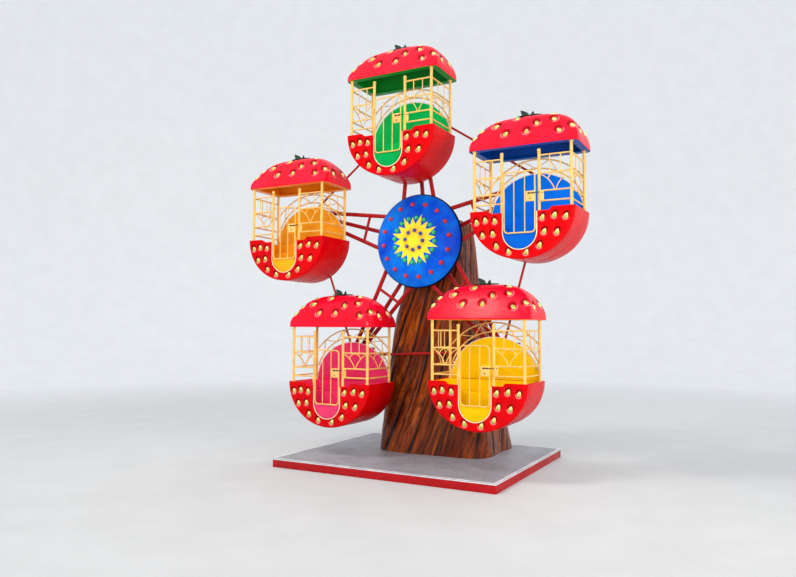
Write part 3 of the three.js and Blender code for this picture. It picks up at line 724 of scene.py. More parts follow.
def add_seed(piece, centre, right, up, out):
    """An egg-shaped seed, narrow at its upper end, sunk halfway into its dimple, with a pale spot."""
    rows, values = [], []
    foot = centre - out * (DIMPLE["depth"] + OVERLAP) - up * SEED["low"]
    for r in range(SEED_RINGS + 1):
        height = 1 - 2 * r / SEED_RINGS
        width = math.sqrt(max(1 - height * height, SEED["tip"] ** 2)) * (1 - SEED["taper"] * height)
        row = []
        for turn in arc_turns(SEED_SIDES - 1):
            a, b = math.cos(turn) * width, math.sin(turn) * width
            row.append(foot + right * (SEED["half"] * a) + up * (SEED["long"] * height)
                       + out * ((SEED["proud"] + DIMPLE["depth"]) * b))
            away = math.hypot(a - SEED_SPOT["across"], height - SEED_SPOT["along"])
            values.append(1 - smooth_step(away, SEED_SPOT["inner"], SEED_SPOT["outer"]))
        rows.append(row)
    piece.grid(rows, around=True, capped=True, values=values)


def seed_lean(x):
    return TUB_SEED_LEAN * (1 if x > DOOR_X else -1)


# Cabin: tub

def rim_height(x):
    """The front rim dips on both sides of the door."""
    left = smooth_step(x, *STEP_LEFT)
    right = smooth_step(x, *STEP_RIGHT)
    return RIM_Z - STEP_DROP * left * (1 - right)


def tub_section(half, drop, y, floor=-9.0):
    """From the right rim round the bottom to the left rim."""
    return [(half * math.cos(turn), y, max(RIM_Z - drop * math.sin(turn), floor))
            for turn in arc_turns(TUB_STEPS)]


def notch_line(gap=0.0, top=None, steps=28):
    """The door notch from its upper left end round its foot to its upper right end."""
    half = NOTCH_HALF - gap
    left, right = DOOR_X - half, DOOR_X + half
    centre = NOTCH_BOTTOM + NOTCH_HALF
    arc = [(DOOR_X - half * math.cos(turn), centre - half * math.sin(turn)) for turn in arc_turns(steps)]
    ends = (top, top) if top is not None else (rim_height(left), rim_height(right))
    return [(left, ends[0])] + arc + [(right, ends[1])]


def rim_line(half):
    """The front rim from left to right, with the notch; both walls share it."""
    inner = TUB_HALF - TUB_WALL
    left, right = ([low + (high - low) * k / RIM_STEPS for k in range(RIM_STEPS + 1)]
                   for low, high in (STEP_LEFT, STEP_RIGHT))
    left, right = [-inner] + left, right + [inner]
    if half > inner:
        left, right = [-half] + left, right + [half]
    return [(x, rim_height(x)) for x in left] + notch_line() + [(x, rim_height(x)) for x in right]


def dimple_points(seeds):
    """Rings of points that let a flat face take the dimples."""
    found = []
    for x, z in seeds:
        lean = seed_lean(x)
        c, s = math.cos(lean), math.sin(lean)
        for share in DIMPLE_RINGS:
            for turn in even_turns(max(1, round(DIMPLE_SIDES * share))):
                across = DIMPLE["half"] * share * math.cos(turn)
                along = DIMPLE["long"] * share * math.sin(turn)
                found.append((x + across * c + along * s, z - across * s + along * c))
    return found


def dimpled(x, z, seeds):
    """Depth of the dimples at a place on a flat face, and their painted shade and highlight."""
    depth = tone = 0.0
    for sx, sz in seeds:
        if max(abs(x - sx), abs(z - sz)) < DIMPLE_REACH:
            lean = seed_lean(sx)
            across = (x - sx) * math.cos(lean) - (z - sz) * math.sin(lean)
            along = (x - sx) * math.sin(lean) + (z - sz) * math.cos(lean)
            depth = max(depth, float(dimple_depth(across, along)))
            tone += float(dimple_shade_and_highlight(across, along))
    return depth, tone


def add_wall(piece, outline, y, seeds, inwards, place):
    """A flat wall of the tub with its dimples and their painted shade and highlight; inwards is the way
    into the tub.
    """
    flat, triangles = fill([outline], dimple_points(seeds))
    marks = [dimpled(x, z, seeds) for x, z in flat]
    points = [(x, y + inwards * depth, z) for (x, z), (depth, _) in zip(flat, marks)]
    piece.add(points, triangles, place, [tone for _, tone in marks])


def tub_shell():
    """Red outside, accent inside, cream line round the notch."""
    red, accent, cream = 0, 1, 2
    piece = Piece()
    edge = [(TUB_EDGE["depth"] * (1 - math.cos(turn)), 1 - math.sin(turn))
            for turn in arc_turns(4, math.pi / 2)]
    stations = [(-1 + depth, share) for depth, share in edge]
    stations += [(t, 0.0) for t in TUB_STATIONS]
    stations += [(1 - depth, share) for depth, share in reversed(edge)]
    rows = []
    for t, share in stations:
        half = TUB_HALF * (1 - TUB_EDGE["width"] * share)
        drop = TUB_DROP * (1 - TUB_EDGE["drop"] * share)
        rows.append(tub_section(half, drop, TUB_MID + (TUB_BACK - TUB_MID) * t))
    piece.grid(rows, red)
    half = rows[0][0][0]
    inner_half = TUB_HALF - TUB_WALL
    rim = rim_line(half)
    bottom = [(x, z) for x, _, z in rows[0]]
    add_wall(piece, bottom[1:-1] + rim, TUB_FRONT, TUB_SEEDS, 1, red)
    back_rim = [(x, RIM_Z) for x in (-half, -inner_half, inner_half, half)]
    add_wall(piece, bottom[1:-1] + back_rim, TUB_BACK, TUB_SEEDS, -1, red)
    inner = [tub_section(inner_half, TUB_DROP - TUB_WALL, y, TUB_FLOOR)
             for y in (TUB_INNER_FRONT, TUB_MID, TUB_INNER_BACK)]
    piece.grid(inner, accent)
    inner_bottom = [(x, z) for x, _, z in inner[0]]
    add_wall(piece, inner_bottom[1:-1] + rim_line(inner_half), TUB_INNER_FRONT, [], 1, accent)
    add_wall(piece, inner_bottom, TUB_INNER_BACK, [], 1, accent)
    piece.grid([[(x, y, z) for x, z in rim[1:-1]] for y in (TUB_FRONT, TUB_INNER_FRONT)], red)
    for side in (-1, 1):
        outer = [row[0 if side > 0 else -1] for row in rows]
        corners = [(side * inner_half, y, RIM_Z)
                   for y in (TUB_BACK, TUB_INNER_BACK, TUB_MID, TUB_INNER_FRONT, TUB_FRONT)]
        piece.add(outer + corners, [tuple(range(len(outer) + len(corners)))], red)
    piece.add([(x, y, RIM_Z) for x, y in ((-inner_half, TUB_BACK), (inner_half, TUB_BACK),
                                          (inner_half, TUB_INNER_BACK), (-inner_half, TUB_INNER_BACK))],
              [(0, 1, 2, 3)], red)
    add_rim_beads(piece, rows, rim, red, cream)
    return piece


def add_rim_beads(piece, rows, rim, red, cream):
    """A rolled lip round the rim, a cream line round the notch and the seam under the belly."""
    inset = TUB_LIP * 0.6
    notch = notch_line()
    split = rim.index(notch[0])
    left = [(x, TUB_FRONT + inset, z) for x, z in rim[:split + 1]]
    right = [(x, TUB_FRONT + inset, z) for x, z in rim[split + len(notch) - 1:]]
    left_side = [(row[-1][0] + inset, row[-1][1], RIM_Z) for row in rows[1:-1]]
    right_side = [(row[0][0] - inset, row[0][1], RIM_Z) for row in rows[1:-1]]
    back = [(side * TUB_HALF * 0.98, TUB_BACK - inset, RIM_Z) for side in (-1, 1)]
    piece.tube(left[::-1] + left_side + back + right_side[::-1] + right[::-1], TUB_LIP, red, 10)
    piece.tube([(x, TUB_FRONT - OVERLAP, z) for x, z in notch], NOTCH_BEAD, cream, 10)
    proud, skipped = TUB_SEAM["proud"], TUB_SEAM["skipped"]
    seam = tub_section(TUB_HALF + proud, TUB_DROP + proud, TUB_MID + TUB_SEAM["shift"])
    piece.tube(seam[skipped:-skipped], TUB_SEAM["radius"], red, 6)


def bench():
    """A moulded seat across the back, with a rounded front edge and shallow seats."""
    piece = Piece()
    half, drop = TUB_HALF - TUB_WALL, TUB_DROP - TUB_WALL
    seat, front, back = BENCH["seat"], BENCH["front"], BENCH["back"]
    section = tub_section(half - 0.001, drop - 0.001, 0, TUB_FLOOR + 0.001)
    piece.slab([[(x, z) for x, _, z in section if z < seat]], front, back, 0, BENCH["edge"])
    border = BENCH["border"]
    reach = half * math.sqrt(1 - ((RIM_Z - seat) / drop) ** 2) - border
    for side in (-1, 1):
        low, high = sorted((side * BENCH["gap"], side * reach))
        piece.block((low, front + BENCH["edge"], seat - 0.006), (high, back - border, seat + 0.008),
                    0, 0.005)
    return piece


# Cabin: roof

def roof_share(u, v):
    """Share of the dome's height: rounded ends and leaning faces that meet in creases above the corners."""
    along = np.clip(1 - np.abs(u) ** ROOF_ARCH[0], 1e-9, 1) ** ROOF_ARCH[1]
    slope = np.maximum(ROOF_SLOPE * (1 - np.abs(v)), 1e-9)
    across = (slope ** -ROOF_SHOULDER + 1) ** (-1 / ROOF_SHOULDER)
    both = along ** -ROOF_CREASE + across ** -ROOF_CREASE - 1
    inside = (np.abs(u) < 1) & (np.abs(v) < 1)
    return np.where(inside, both ** (-1 / ROOF_CREASE), 0.0)


def roof_top():
    share = float(roof_share(np.zeros(1), np.zeros(1))[0])
    return Vector((0, ROOF_MID, ROOF_Z + ROOF_LIP + ROOF_DOME * share))


def even_steps(count, reach, other):
    """Places from -1 to 1 that lie evenly along the dome's outline."""
    fine = np.sin(np.linspace(-math.pi / 2, math.pi / 2, 4001))
    heights = ROOF_DOME * (roof_share(fine, 0 * fine) if other == "v" else roof_share(0 * fine, fine))
    length = np.concatenate([[0], np.cumsum(np.hypot(np.diff(fine) * reach, np.diff(heights)))])
    return np.interp(np.linspace(0, length[-1], count + 1), length, fine)


def roof_plan(u, v):
    """The plan's corners are rounded, less and less towards the middle."""
    reach = np.maximum(np.maximum(np.abs(u), np.abs(v)), 1e-9)
    round_corner = reach / (np.abs(u) ** ROOF_CORNER + np.abs(v) ** ROOF_CORNER) ** (1 / ROOF_CORNER)
    scale = 1 + (round_corner - 1) * reach ** 6
    return u * scale, v * scale


def dome_places(u, v, shrink=0.0, foot=ROOF_Z + ROOF_LIP, height=ROOF_DOME):
    """Places on the dome, or on a smaller one inside it, by their shares along it and across it."""
    x, y = roof_plan(u, v)
    return np.stack([(ROOF_HALF - shrink) * x, ROOF_MID + (ROOF_HALF_DEPTH - shrink) * y,
                     foot + height * roof_share(u, v)], -1)


def roof_point(u, v):
    return Vector(dome_places(np.float64(u), np.float64(v)))


def roof_frame(u, v):
    """Place, right, up and outward directions on the roof, with up towards its top."""
    step = 1e-3
    centre = roof_point(u, v)
    out = (roof_point(u + step, v) - roof_point(u - step, v)).cross(
        roof_point(u, v + step) - roof_point(u, v - step)).normalized()
    to_top = Vector((0, ROOF_MID, ROOF_Z + ROOF_DOME * 1.2)) - centre
    up = (to_top - out * to_top.dot(out)).normalized()
    return centre, up.cross(out), up, out


def roof_seeds():
    mirrored = [(u, -v) for u, v in ROOF_SEEDS_FRONT[:-1]]
    return [roof_frame(u, v) for u, v in ROOF_SEEDS_FRONT + mirrored + ROOF_SEEDS_ENDS + ROOF_SEEDS_TOP]


def roof_shell():
    """Red dome with dimples and their painted shade and highlight, accent flange and ceiling."""
    red, accent = 0, 1
    piece = Piece()
    u, v = np.meshgrid(even_steps(ROOF_COLUMNS, ROOF_HALF, "v"),
                       even_steps(ROOF_ROWS, ROOF_HALF_DEPTH, "u"))
    dome = dome_places(u, v)
    sunk, tone = dome.copy(), np.zeros_like(u)
    for centre, right, up, out in roof_seeds():
        away = dome - np.array(centre)
        near = np.abs(away @ np.array(out)) < DIMPLE_NEAR
        across, along = (away @ np.array(axis) / ROOF_DIMPLE_SPREAD for axis in (right, up))
        sunk -= (dimple_depth(across, along) * near)[..., None] * np.array(out)
        # The dimples' painted shade and highlight, kept as shade values
        tone += dimple_shade_and_highlight(across, along) * near
    piece.grid([list(map(tuple, row)) for row in sunk], red, values=tone.ravel())
    ring = [(0, k) for k in range(ROOF_COLUMNS)] + [(k, ROOF_COLUMNS) for k in range(ROOF_ROWS)]
    ring += [(ROOF_ROWS - r, ROOF_COLUMNS - c) for r, c in ring]

    def loop(inset, height, step=1):
        """The dome's foot line, moved inwards, at a height over the roof's underside."""
        across, along = 1 - inset / ROOF_HALF, 1 - inset / ROOF_HALF_DEPTH
        return [(dome[r, c, 0] * across, ROOF_MID + (dome[r, c, 1] - ROOF_MID) * along, ROOF_Z + height)
                for r, c in ring[::step]]

    fine = loop(0.002, 0.0015)
    piece.grid([loop(0, ROOF_LIP), loop(0, 0.006), fine], red, around=True)
    levels = [(0.006, 0.0), (FLANGE - 0.004, 0.0), (FLANGE, 0.004), (FLANGE, FLANGE_THICK),
              (ROOF_WALL, FLANGE_THICK), (ROOF_WALL, FLANGE_THICK + ROOF_LIP)]
    rows = [loop(inset, height, CEILING_STEP) for inset, height in levels]
    count = len(rows[0])
    faces = []
    for k in range(count):
        outer = [(k * CEILING_STEP + i) % len(fine) for i in range(CEILING_STEP + 1)]
        faces.append(outer + [len(fine) + (k + 1) % count, len(fine) + k])
    piece.add(fine + rows[0], faces, accent)
    piece.grid(rows, accent, around=True)
    ceiling = dome_places(u[::CEILING_STEP, ::CEILING_STEP], v[::CEILING_STEP, ::CEILING_STEP], ROOF_WALL,
                          ROOF_Z + FLANGE_THICK + ROOF_LIP, ROOF_DOME - ROOF_TOP_WALL - FLANGE_THICK)
    piece.grid([list(map(tuple, row)) for row in ceiling], accent)
    return piece


def all_seeds():
    piece = Piece()
    for x, z in TUB_SEEDS:
        lean = seed_lean(x)
        right = Vector((math.cos(lean), 0, -math.sin(lean)))
        up = Vector((math.sin(lean), 0, math.cos(lean)))
        add_seed(piece, Vector((x, TUB_FRONT, z)), right, up, Vector((0, -1, 0)))
        add_seed(piece, Vector((x, TUB_BACK, z)), -right, up, Vector((0, 1, 0)))
    for centre, right, up, out in roof_seeds():
        add_seed(piece, centre, right, up, out)
    return piece


def leaf_blade(piece, base, direction, out, length, width, curl, taper=0.8):
    """A pointed leaf with a folded middle, from its base along a direction, curling up at its tip."""
    rows, values = [], []
    side = direction.cross(out).normalized()
    tones = [smooth_step(abs(s), 0.5, 1.0) if s else 0.5 for s in LEAF_COLUMNS]
    for t in (row / LEAF_ROWS for row in range(LEAF_ROWS + 1)):
        half = width * ((1 - t) ** taper * (t + 0.08) ** 0.45 + 0.01)
        middle = base + direction * (length * t) + out * (curl * t * t * length)
        folds = [LEAF_FOLD * width * abs(s) ** 1.4 * (1 - 0.5 * t) for s in LEAF_COLUMNS]
        over, under = ([middle + side * (half * s) + out * (fold - thick)
                        for s, fold in zip(LEAF_COLUMNS, folds)] for thick in (0, LEAF_THICK))
        rows.append(over + under[::-1])
        values += tones + tones[::-1]
    piece.grid(rows, around=True, capped=True, values=values)


def leaf_crown():
    """Six leaves that lie over the top of the roof and two that stand up."""
    piece = Piece()
    top = roof_top()
    for k in range(6):
        turn = math.radians(60 * k)
        reach = LEAF_REACH[1] if k % 3 else LEAF_REACH[0]
        end = roof_point(reach * math.cos(turn) / ROOF_HALF, reach * math.sin(turn) / ROOF_HALF_DEPTH)
        base = top + Vector((0, 0, LEAF_LIFT))
        leaf_blade(piece, base, (end - top).normalized(), Vector((0, 0, 1)), reach, LEAF_WIDTH, 0.02)
    for x, lean, length, width in UPRIGHT_LEAVES:
        along = Vector((lean, -0.08, 1.0)).normalized()
        out = Vector((-lean * 0.5, -0.98, -0.08)).normalized()
        leaf_blade(piece, top + Vector((x, 0, 0.002)), along, out, length, width, 0.08, 1.1)
    piece.drum(top, 0.026, -0.004, 0.018, "z", 0, 14, 0.006)
    return piece


# Cabin: railings

def panel_place(start, end, share, z):
    return Vector((start[0] + (end[0] - start[0]) * share, start[1] + (end[1] - start[1]) * share, z))


def add_rail_panel(piece, start, end):
    """Four rails, two balusters, two quarter arcs and a small arch that crosses them."""

    def line(places, radius, sides=8):
        piece.tube([panel_place(start, end, share, z) for share, z in places], radius, 0, sides)

    for z in RAIL_Z:
        line([(0, z), (1, z)], RAIL_RADIUS, 10)
    for share in (1 / 3, 2 / 3):
        line([(share, RAIL_Z[0]), (share, RAIL_Z[1])], BALUSTER_RADIUS)
    low, high = RAIL_Z[2], RAIL_Z[1] - RAIL_ARC["below"]
    arc = [(RAIL_ARC["reach"] * math.sin(turn) ** RAIL_ARC["bend"],
            low + (high - low) * max(math.cos(turn), 0.0) ** RAIL_ARC["bend"])
           for turn in arc_turns(16, math.pi / 2)]
    line(arc, ARC_RADIUS)
    line([(1 - share, z) for share, z in arc], ARC_RADIUS)
    line([(0.5 - RAIL_ARCH["half"] * math.cos(turn),
           low + (high - low) * (RAIL_ARCH["foot"] + RAIL_ARCH["rise"] * math.sin(turn)))
          for turn in arc_turns(12)], ARC_RADIUS)


def add_post(piece, x, y, foot, top, radius):
    """A post with a foot plate on the rim."""
    piece.tube([(x, y, foot), (x, y, top)], radius, 0, 16)
    piece.drum((x, y, 0), radius * 1.55, foot, foot + 0.006, "z", 0, 20, 0.002)


def railing(side):
    """The posts and rails on one side of the door, with the hinges' pins or the latch."""
    piece = Piece()
    front = (side * FRONT_POST_X, FRONT_POST_Y)
    back = (side * BACK_POST_X, BACK_POST_Y)
    door = (DOOR_POST_X[side], FRONT_POST_Y)
    foot, top = RIM_Z + SEAT_GAP, ROOF_Z - SEAT_GAP
    for x, y in (front, back):
        add_post(piece, x, y, foot, top, POST_RADIUS)
        piece.drum((x, y, 0), POST_RADIUS * 1.5, top - 0.006, top, "z", 0, 20, 0.002)
    knob = FINIAL["z"]
    add_post(piece, *door, foot - STEP_DROP, knob - 0.02, DOOR_POST_RADIUS)
    piece.drum((*door, 0), DOOR_POST_RADIUS * 1.25, knob - 0.034, knob - 0.022, "z", 0, 16, 0.003)
    piece.ball((*door, knob), FINIAL["radius"], 0, 10, 16)
    add_rail_panel(piece, door, front)
    add_rail_panel(piece, front, back)
    if side < 0:
        x, y = HINGE["x"], HINGE["y"]
        for z in HINGE["heights"]:
            low = z - HINGE["barrel"]
            piece.drum((x, y, 0), HINGE["radius"], low, z, "z", 0, 14)
            piece.block((x - 0.014, y, low + 0.005), (x - 0.004, FRONT_POST_Y, z - 0.005), 0, 0.002)
    else:
        left, right = door[0] + LATCH["left"], door[0] + LATCH["right"]
        face = FRONT_POST_Y - LATCH["proud"]
        piece.block((left, face, LATCH["low"]), (right, face + 0.012, LATCH["high"]))
        piece.block((left + 0.002, face + 0.010, LATCH["low"] + 0.01),
                    (right - 0.03, FRONT_POST_Y, LATCH["high"] - 0.01))
        piece.drum((right - 0.014, face, LATCH["high"] - LATCH["bolt"]), 0.007, -0.008, 0, "y", 1, 12)
    return piece


# Cabin: door

def rounded_rectangle(left, right, low, high, corner, steps=8):
    loop = []
    centres = [(right - corner, high - corner), (left + corner, high - corner),
               (left + corner, low + corner), (right - corner, low + corner)]
    for quarter, (x, z) in enumerate(centres):
        for k in range(steps + 1):
            turn = math.pi / 2 * (quarter + k / steps)
            loop.append((x + corner * math.cos(turn), z + corner * math.sin(turn)))
    return loop


def door():
    """U-shaped panel with its window, the grille, hinge barrels and the slide bolt."""
    accent, cream, dark = 0, 1, 2
    piece = Piece()
    radius, corner = GRILLE["radius"], GRILLE["corner"]
    left, right = DOOR_X - GRILLE["half"], DOOR_X + GRILLE["half"]
    low, high = GRILLE["low"], GRILLE["high"]
    wide = 2 * radius
    window = rounded_rectangle(left + wide, right - wide, low + wide, DOOR_TOP + 0.1, corner - wide)
    inner = [(left + wide, DOOR_TOP)] + [(x, z) for x, z in window if z < DOOR_TOP - 0.001]
    inner.append((right - wide, DOOR_TOP))
    panel = notch_line(DOOR_GAP, DOOR_TOP, 40)
    piece.slab([panel + inner[::-1]], DOOR_FRONT, DOOR_FRONT + DOOR_THICK, accent)
    y = DOOR_FRONT + OVERLAP - radius
    border = rounded_rectangle(left + radius, right - radius, low + radius, high - radius,
                               corner - radius, 10)
    piece.tube([(x, y, z) for x, z in border], radius, cream, 12, closed=True)
    for share in (1 / 3, 2 / 3):
        x = left + (right - left) * share
        piece.tube([(x, y, low + radius), (x, y, high - radius)], GRILLE["bar"], cream, 10)
    plate = right - LATCH["plate"]
    piece.block((plate, y - 0.009, LATCH["low"]), (right - 0.003, y + 0.007, LATCH["high"]), cream)
    bolt_y, bolt_z = y - SLIDE_BOLT["proud"], LATCH["high"] - LATCH["bolt"]
    ends = (plate + SLIDE_BOLT["start"], DOOR_POST_X[1] + SLIDE_BOLT["past_post"])
    piece.tube([(x, bolt_y, bolt_z) for x in ends], SLIDE_BOLT["radius"], dark, 10)
    for place in SLIDE_BOLT["guides"]:
        x = plate + place
        piece.block((x - 0.006, bolt_y - 0.008, bolt_z - 0.010), (x + 0.006, y - 0.006, bolt_z + 0.010),
                    dark, 0.002)
    piece.drum((plate + 0.042, bolt_y, bolt_z), 0.006, -0.018, 0, "y", dark, 10)
    piece.drum((plate + 0.062, y - 0.009, LATCH["low"] + 0.034), 0.009, -0.004, 0, "y", dark, 16)
    for z in HINGE["heights"]:
        base, x, y = z + SEAT_GAP, HINGE["x"], HINGE["y"]
        piece.drum((x, y, 0), HINGE["radius"], base, base + HINGE["barrel"], "z", cream, 14)
        top = base + HINGE["barrel"]
        piece.block((x, y - 0.006, base + 0.005), (left + 0.006, y + 0.006, top - 0.005), cream, 0.002)
    return piece


# Cabin: back panel

def arch_place(arch, turn):
    return arch[0] * math.cos(turn), RIM_Z + arch[1] * math.sin(turn)


def arch_path(arch, y, steps=28):
    start = math.acos(ARCH_REACH / arch[0])
    turns = [start + (math.pi - 2 * start) * k / steps for k in range(steps + 1)]
    return [(x, y, z) for x, z in (arch_place(arch, turn) for turn in turns)]


def back_panel():
    """Accent panel with red back, white edge line, gold double arch, beam and axle."""
    accent, red, white, gold, pipe, zinc = range(6)
    piece = Piece()
    foot = RIM_Z + SEAT_GAP
    half, front, back = PANEL["half"], PANEL["front"], PANEL["back"]

    def arched(inset):
        return [((half - inset) * math.cos(turn), foot + (PANEL["rise"] - inset) * math.sin(turn))
                for turn in arc_turns(56)]

    piece.slab([arched(0)], front, back, accent, 0.003, red, red)
    line = [(x, front + OVERLAP, z) for x, z in arched(EDGE_LINE["inset"])]
    piece.tube(line, EDGE_LINE["radius"], white, 10)
    y = (front + back) / 2
    arches = (INNER_ARCH, OUTER_ARCH)
    for arch in arches[::-1]:
        piece.tube(arch_path(arch, y), ARCH_RADIUS, gold, 12)
    knots = []
    for step in range(ARCH_STRUTS + 1):
        turn = STRUT_FIRST_TURN + (math.pi - 2 * STRUT_FIRST_TURN) * step / ARCH_STRUTS
        x, z = arch_place(arches[step % 2], turn)
        knots.append((x, y, z))
    for ends in zip(knots, knots[1:]):
        piece.tube(ends, STRUT_RADIUS, gold, 8)
    tab_z = arch_path(INNER_ARCH, y)[0][2]
    for side in (-1, 1):
        low, high = sorted((side * ARCH_REACH, side * half * 0.86))
        piece.block((low, y - 0.006, tab_z - 0.012), (high, y + 0.006, tab_z + 0.008), gold, 0.002)
    beam, height = BEAM["back"], BEAM["height"] / 2
    piece.block((-BEAM["half"], back - OVERLAP, -height), (BEAM["half"], beam, height), pipe, 0.004)
    for x in BEAM["bolts"]:
        piece.bolt((x, beam, 0.0), 0.011, "y", 1, zinc)
    pivot = (0, 0, 0)
    piece.drum(pivot, BOSS["radius"] * 1.5, beam - 0.004, beam + 0.008, "y", pipe, 28, 0.003)
    piece.drum(pivot, BOSS["radius"], back, BOSS["back"], "y", pipe, 28, 0.004)
    piece.drum(pivot, AXLE["radius"], BOSS["back"] - OVERLAP, AXLE["back"], "y", zinc, 24, 0.003)
    return piece


# Wheel

def arm():
    """One arm, pointing up from the hub."""
    pipe, zinc = 0, 1
    piece = Piece()
    (inner_t, inner_r), (outer_t, outer_r) = FRONT_PIPE["inner"], FRONT_PIPE["outer"]
    tie_t = inner_t + (TIE_R - inner_r) / (outer_r - inner_r) * (outer_t - inner_t)
    for side in (-1, 1):
        ends = [(side * inner_t, ARM_Y, inner_r), (side * outer_t, ARM_Y, outer_r)]
        piece.tube(ends, PIPE_RADIUS, pipe, 20)
    piece.tube([(-tie_t, ARM_Y, TIE_R), (tie_t, ARM_Y, TIE_R)], PIPE_RADIUS * 0.7, pipe, 16)
    piece.tube([(0, *REAR_PIPE["inner"]), (0, *REAR_PIPE["outer"])], PIPE_RADIUS, pipe, 20)
    half, back = outer_t + 0.02, ARM_Y + 0.04
    piece.block((-half, ARM_Y - 0.02, PIVOT_R - 0.09), (half, back, PIVOT_R - 0.03), pipe, 0.004)
    for side in (-1, 1):
        piece.bolt((side * 0.055, back, PIVOT_R - 0.06), 0.010, "y", 1, zinc)
    tip, radius, back = (0, 0, PIVOT_R), BEARING["radius"], BEARING["back"]
    piece.drum(tip, radius, BEARING["front"], back, "y", pipe, 32, 0.005)
    piece.drum(tip, radius * 0.72, back, back + 0.004, "y", zinc, 28)
    turn = math.pi / 2 + STEP_ANGLE / 2
    along_t, along_r = math.sin(turn), math.cos(turn)
    rod_t, rod_r = along_t * ROD_END, ROD_VERTEX_R + along_r * ROD_END
    half = [
        (0.0, ROD_VERTEX_R + 0.024),
        (rod_t - along_r * 0.026, rod_r + along_t * 0.026),
        (rod_t + along_r * 0.024, rod_r - along_t * 0.024),
        (0.050, PIVOT_R),
    ]
    outline = half + [(-t, r) for t, r in reversed(half[1:])]
    piece.slab([outline], ARM_Y - 0.007, ARM_Y + 0.007, pipe, 0.002)
    return piece


def tie_rod():
    """From one arm's end to the next, with threaded ends and lock nuts."""
    pipe, zinc = 0, 1
    piece = Piece()
    turn = math.pi / 2 + STEP_ANGLE / 2
    along = Vector((math.sin(turn), 0, math.cos(turn)))
    base = Vector((0, ARM_Y, ROD_VERTEX_R))
    start = ROD_END + SEAT_GAP
    end = 2 * ROD_VERTEX_R * math.sin(STEP_ANGLE / 2) - start
    nut = 0.012
    for first, last, thickness, place, sides in (
            (start, start + 0.07, 0.62, zinc, 12), (end - 0.07, end, 0.62, zinc, 12),
            (start + 0.05, end - 0.05, 0.95, pipe, 14),
            (start + 0.038, start + 0.038 + nut, 0.98, zinc, 6),
            (end - 0.05, end - 0.05 + nut, 0.98, zinc, 6)):
        piece.tube([base + along * first, base + along * last], ROD_RADIUS * thickness, place, sides)
    return piece


def hub_core():
    """The hub's plate with its bolts, the tube with ten ribs, and the shaft."""
    pipe, zinc = 0, 1
    piece = Piece()
    plate, tube_back = HUB_PLATE["back"], HUB_TUBE["back"]
    for radius, low, high, place, sides, edge in (
            (HUB_PLATE["radius"], HUB_PLATE["front"], plate, pipe, 72, 0.003),
            (HUB_TUBE["radius"], HUB_PLATE["front"], tube_back, pipe, 48, 0.004),
            (HUB_TUBE["radius"] * 1.18, tube_back - 0.016, tube_back, pipe, 48, 0.003),
            (SHAFT["radius"], tube_back - OVERLAP, SHAFT["back"], zinc, 40, 0.003)):
        piece.drum((0, 0, 0), radius, low, high, "y", place, sides, edge)
    for turn in even_turns(HUB_BOLTS["count"], 0.5):
        piece.bolt(clock_place(HUB_BOLTS["reach"], turn, plate), HUB_BOLTS["radius"], "y", 1, zinc)
    for turn in even_turns(HUB_RIBS, 0.5):
        c, s = math.cos(START_ANGLE + turn), math.sin(START_ANGLE + turn)
        sides = [[(r * s + shift * c, y, r * c - shift * s) for r, y in HUB_RIB]
                 for shift in (-HUB_RIB_HALF, HUB_RIB_HALF)]
        piece.grid(sides, pipe, around=True, capped=True)
    return piece


def disc_y(radius):
    turn = math.asin(min(radius / DISC["radius"], 1.0))
    return DISC["back"] - DISC["rim"] - DISC["bulge"] * math.cos(turn) ** DISC["fullness"]


def disc_dome():
    """The blue dome, its dark rim and the bead round its edge."""
    blue, dark = 0, 1
    piece = Piece()
    radius, back = DISC["radius"], DISC["back"]
    border = radius - DISC_EDGE
    steps = [radius * math.sin(math.pi / 2 * max(k, 0.05) / DISC_STEPS) for k in range(DISC_STEPS + 1)]
    profile = [(reach, disc_y(reach)) for reach in steps if reach < border]
    piece.lathe(profile + [(border, disc_y(border))], (0, 0, 0), "y", blue, DISC_SIDES)
    middle = (border + radius) / 2
    rim = [(border, disc_y(border)), (middle, disc_y(middle)), (radius, back - DISC["rim"] - 0.001),
           (radius, back - 0.004), (radius - 0.004, back), (0.003, back)]
    piece.lathe(rim, (0, 0, 0), "y", dark, DISC_SIDES)
    bead = [clock_place(radius * DISC_BEAD["reach"], turn, back - DISC_BEAD["front"])
            for turn in even_turns(96)]
    piece.tube(bead, DISC_BEAD["radius"], dark, 10, closed=True)
    return piece


def disc_star():
    """A raised star that follows the dome, warm in its middle."""
    piece = Piece()
    radius = DISC["radius"]
    border = []
    for k, turn in enumerate(even_turns(STAR_POINTS * 2)):
        reach = STAR_VALLEY if k % 2 else (STAR_SHORT if k % 4 else STAR_LONG)
        x, _, z = clock_place(radius * reach, STAR_TURN + turn, 0)
        border.append(Vector((x, z)))
    line = []
    for a, b in zip(border, border[1:] + border[:1]):
        line += [a.lerp(b, k / 6) for k in range(6)]
    rows, values = [], []
    for r in range(STAR_ROWS + 1):
        share = max(r / STAR_ROWS, 0.01)
        rows.append([(p.x * share, disc_y(p.length * share) - STAR_PROUD, p.y * share) for p in line])
        values += [1 - smooth_step(abs(p.length * share / radius - STAR_GLOW["reach"]), STAR_GLOW["inner"],
                                   STAR_GLOW["outer"]) for p in line]
    rows.append([(p.x * 1.006, disc_y(p.length * 1.006) + 0.002, p.y * 1.006) for p in line])
    values += [0.0] * len(line)
    piece.grid(rows, 0, around=True, capped=True, values=values)
    return piece


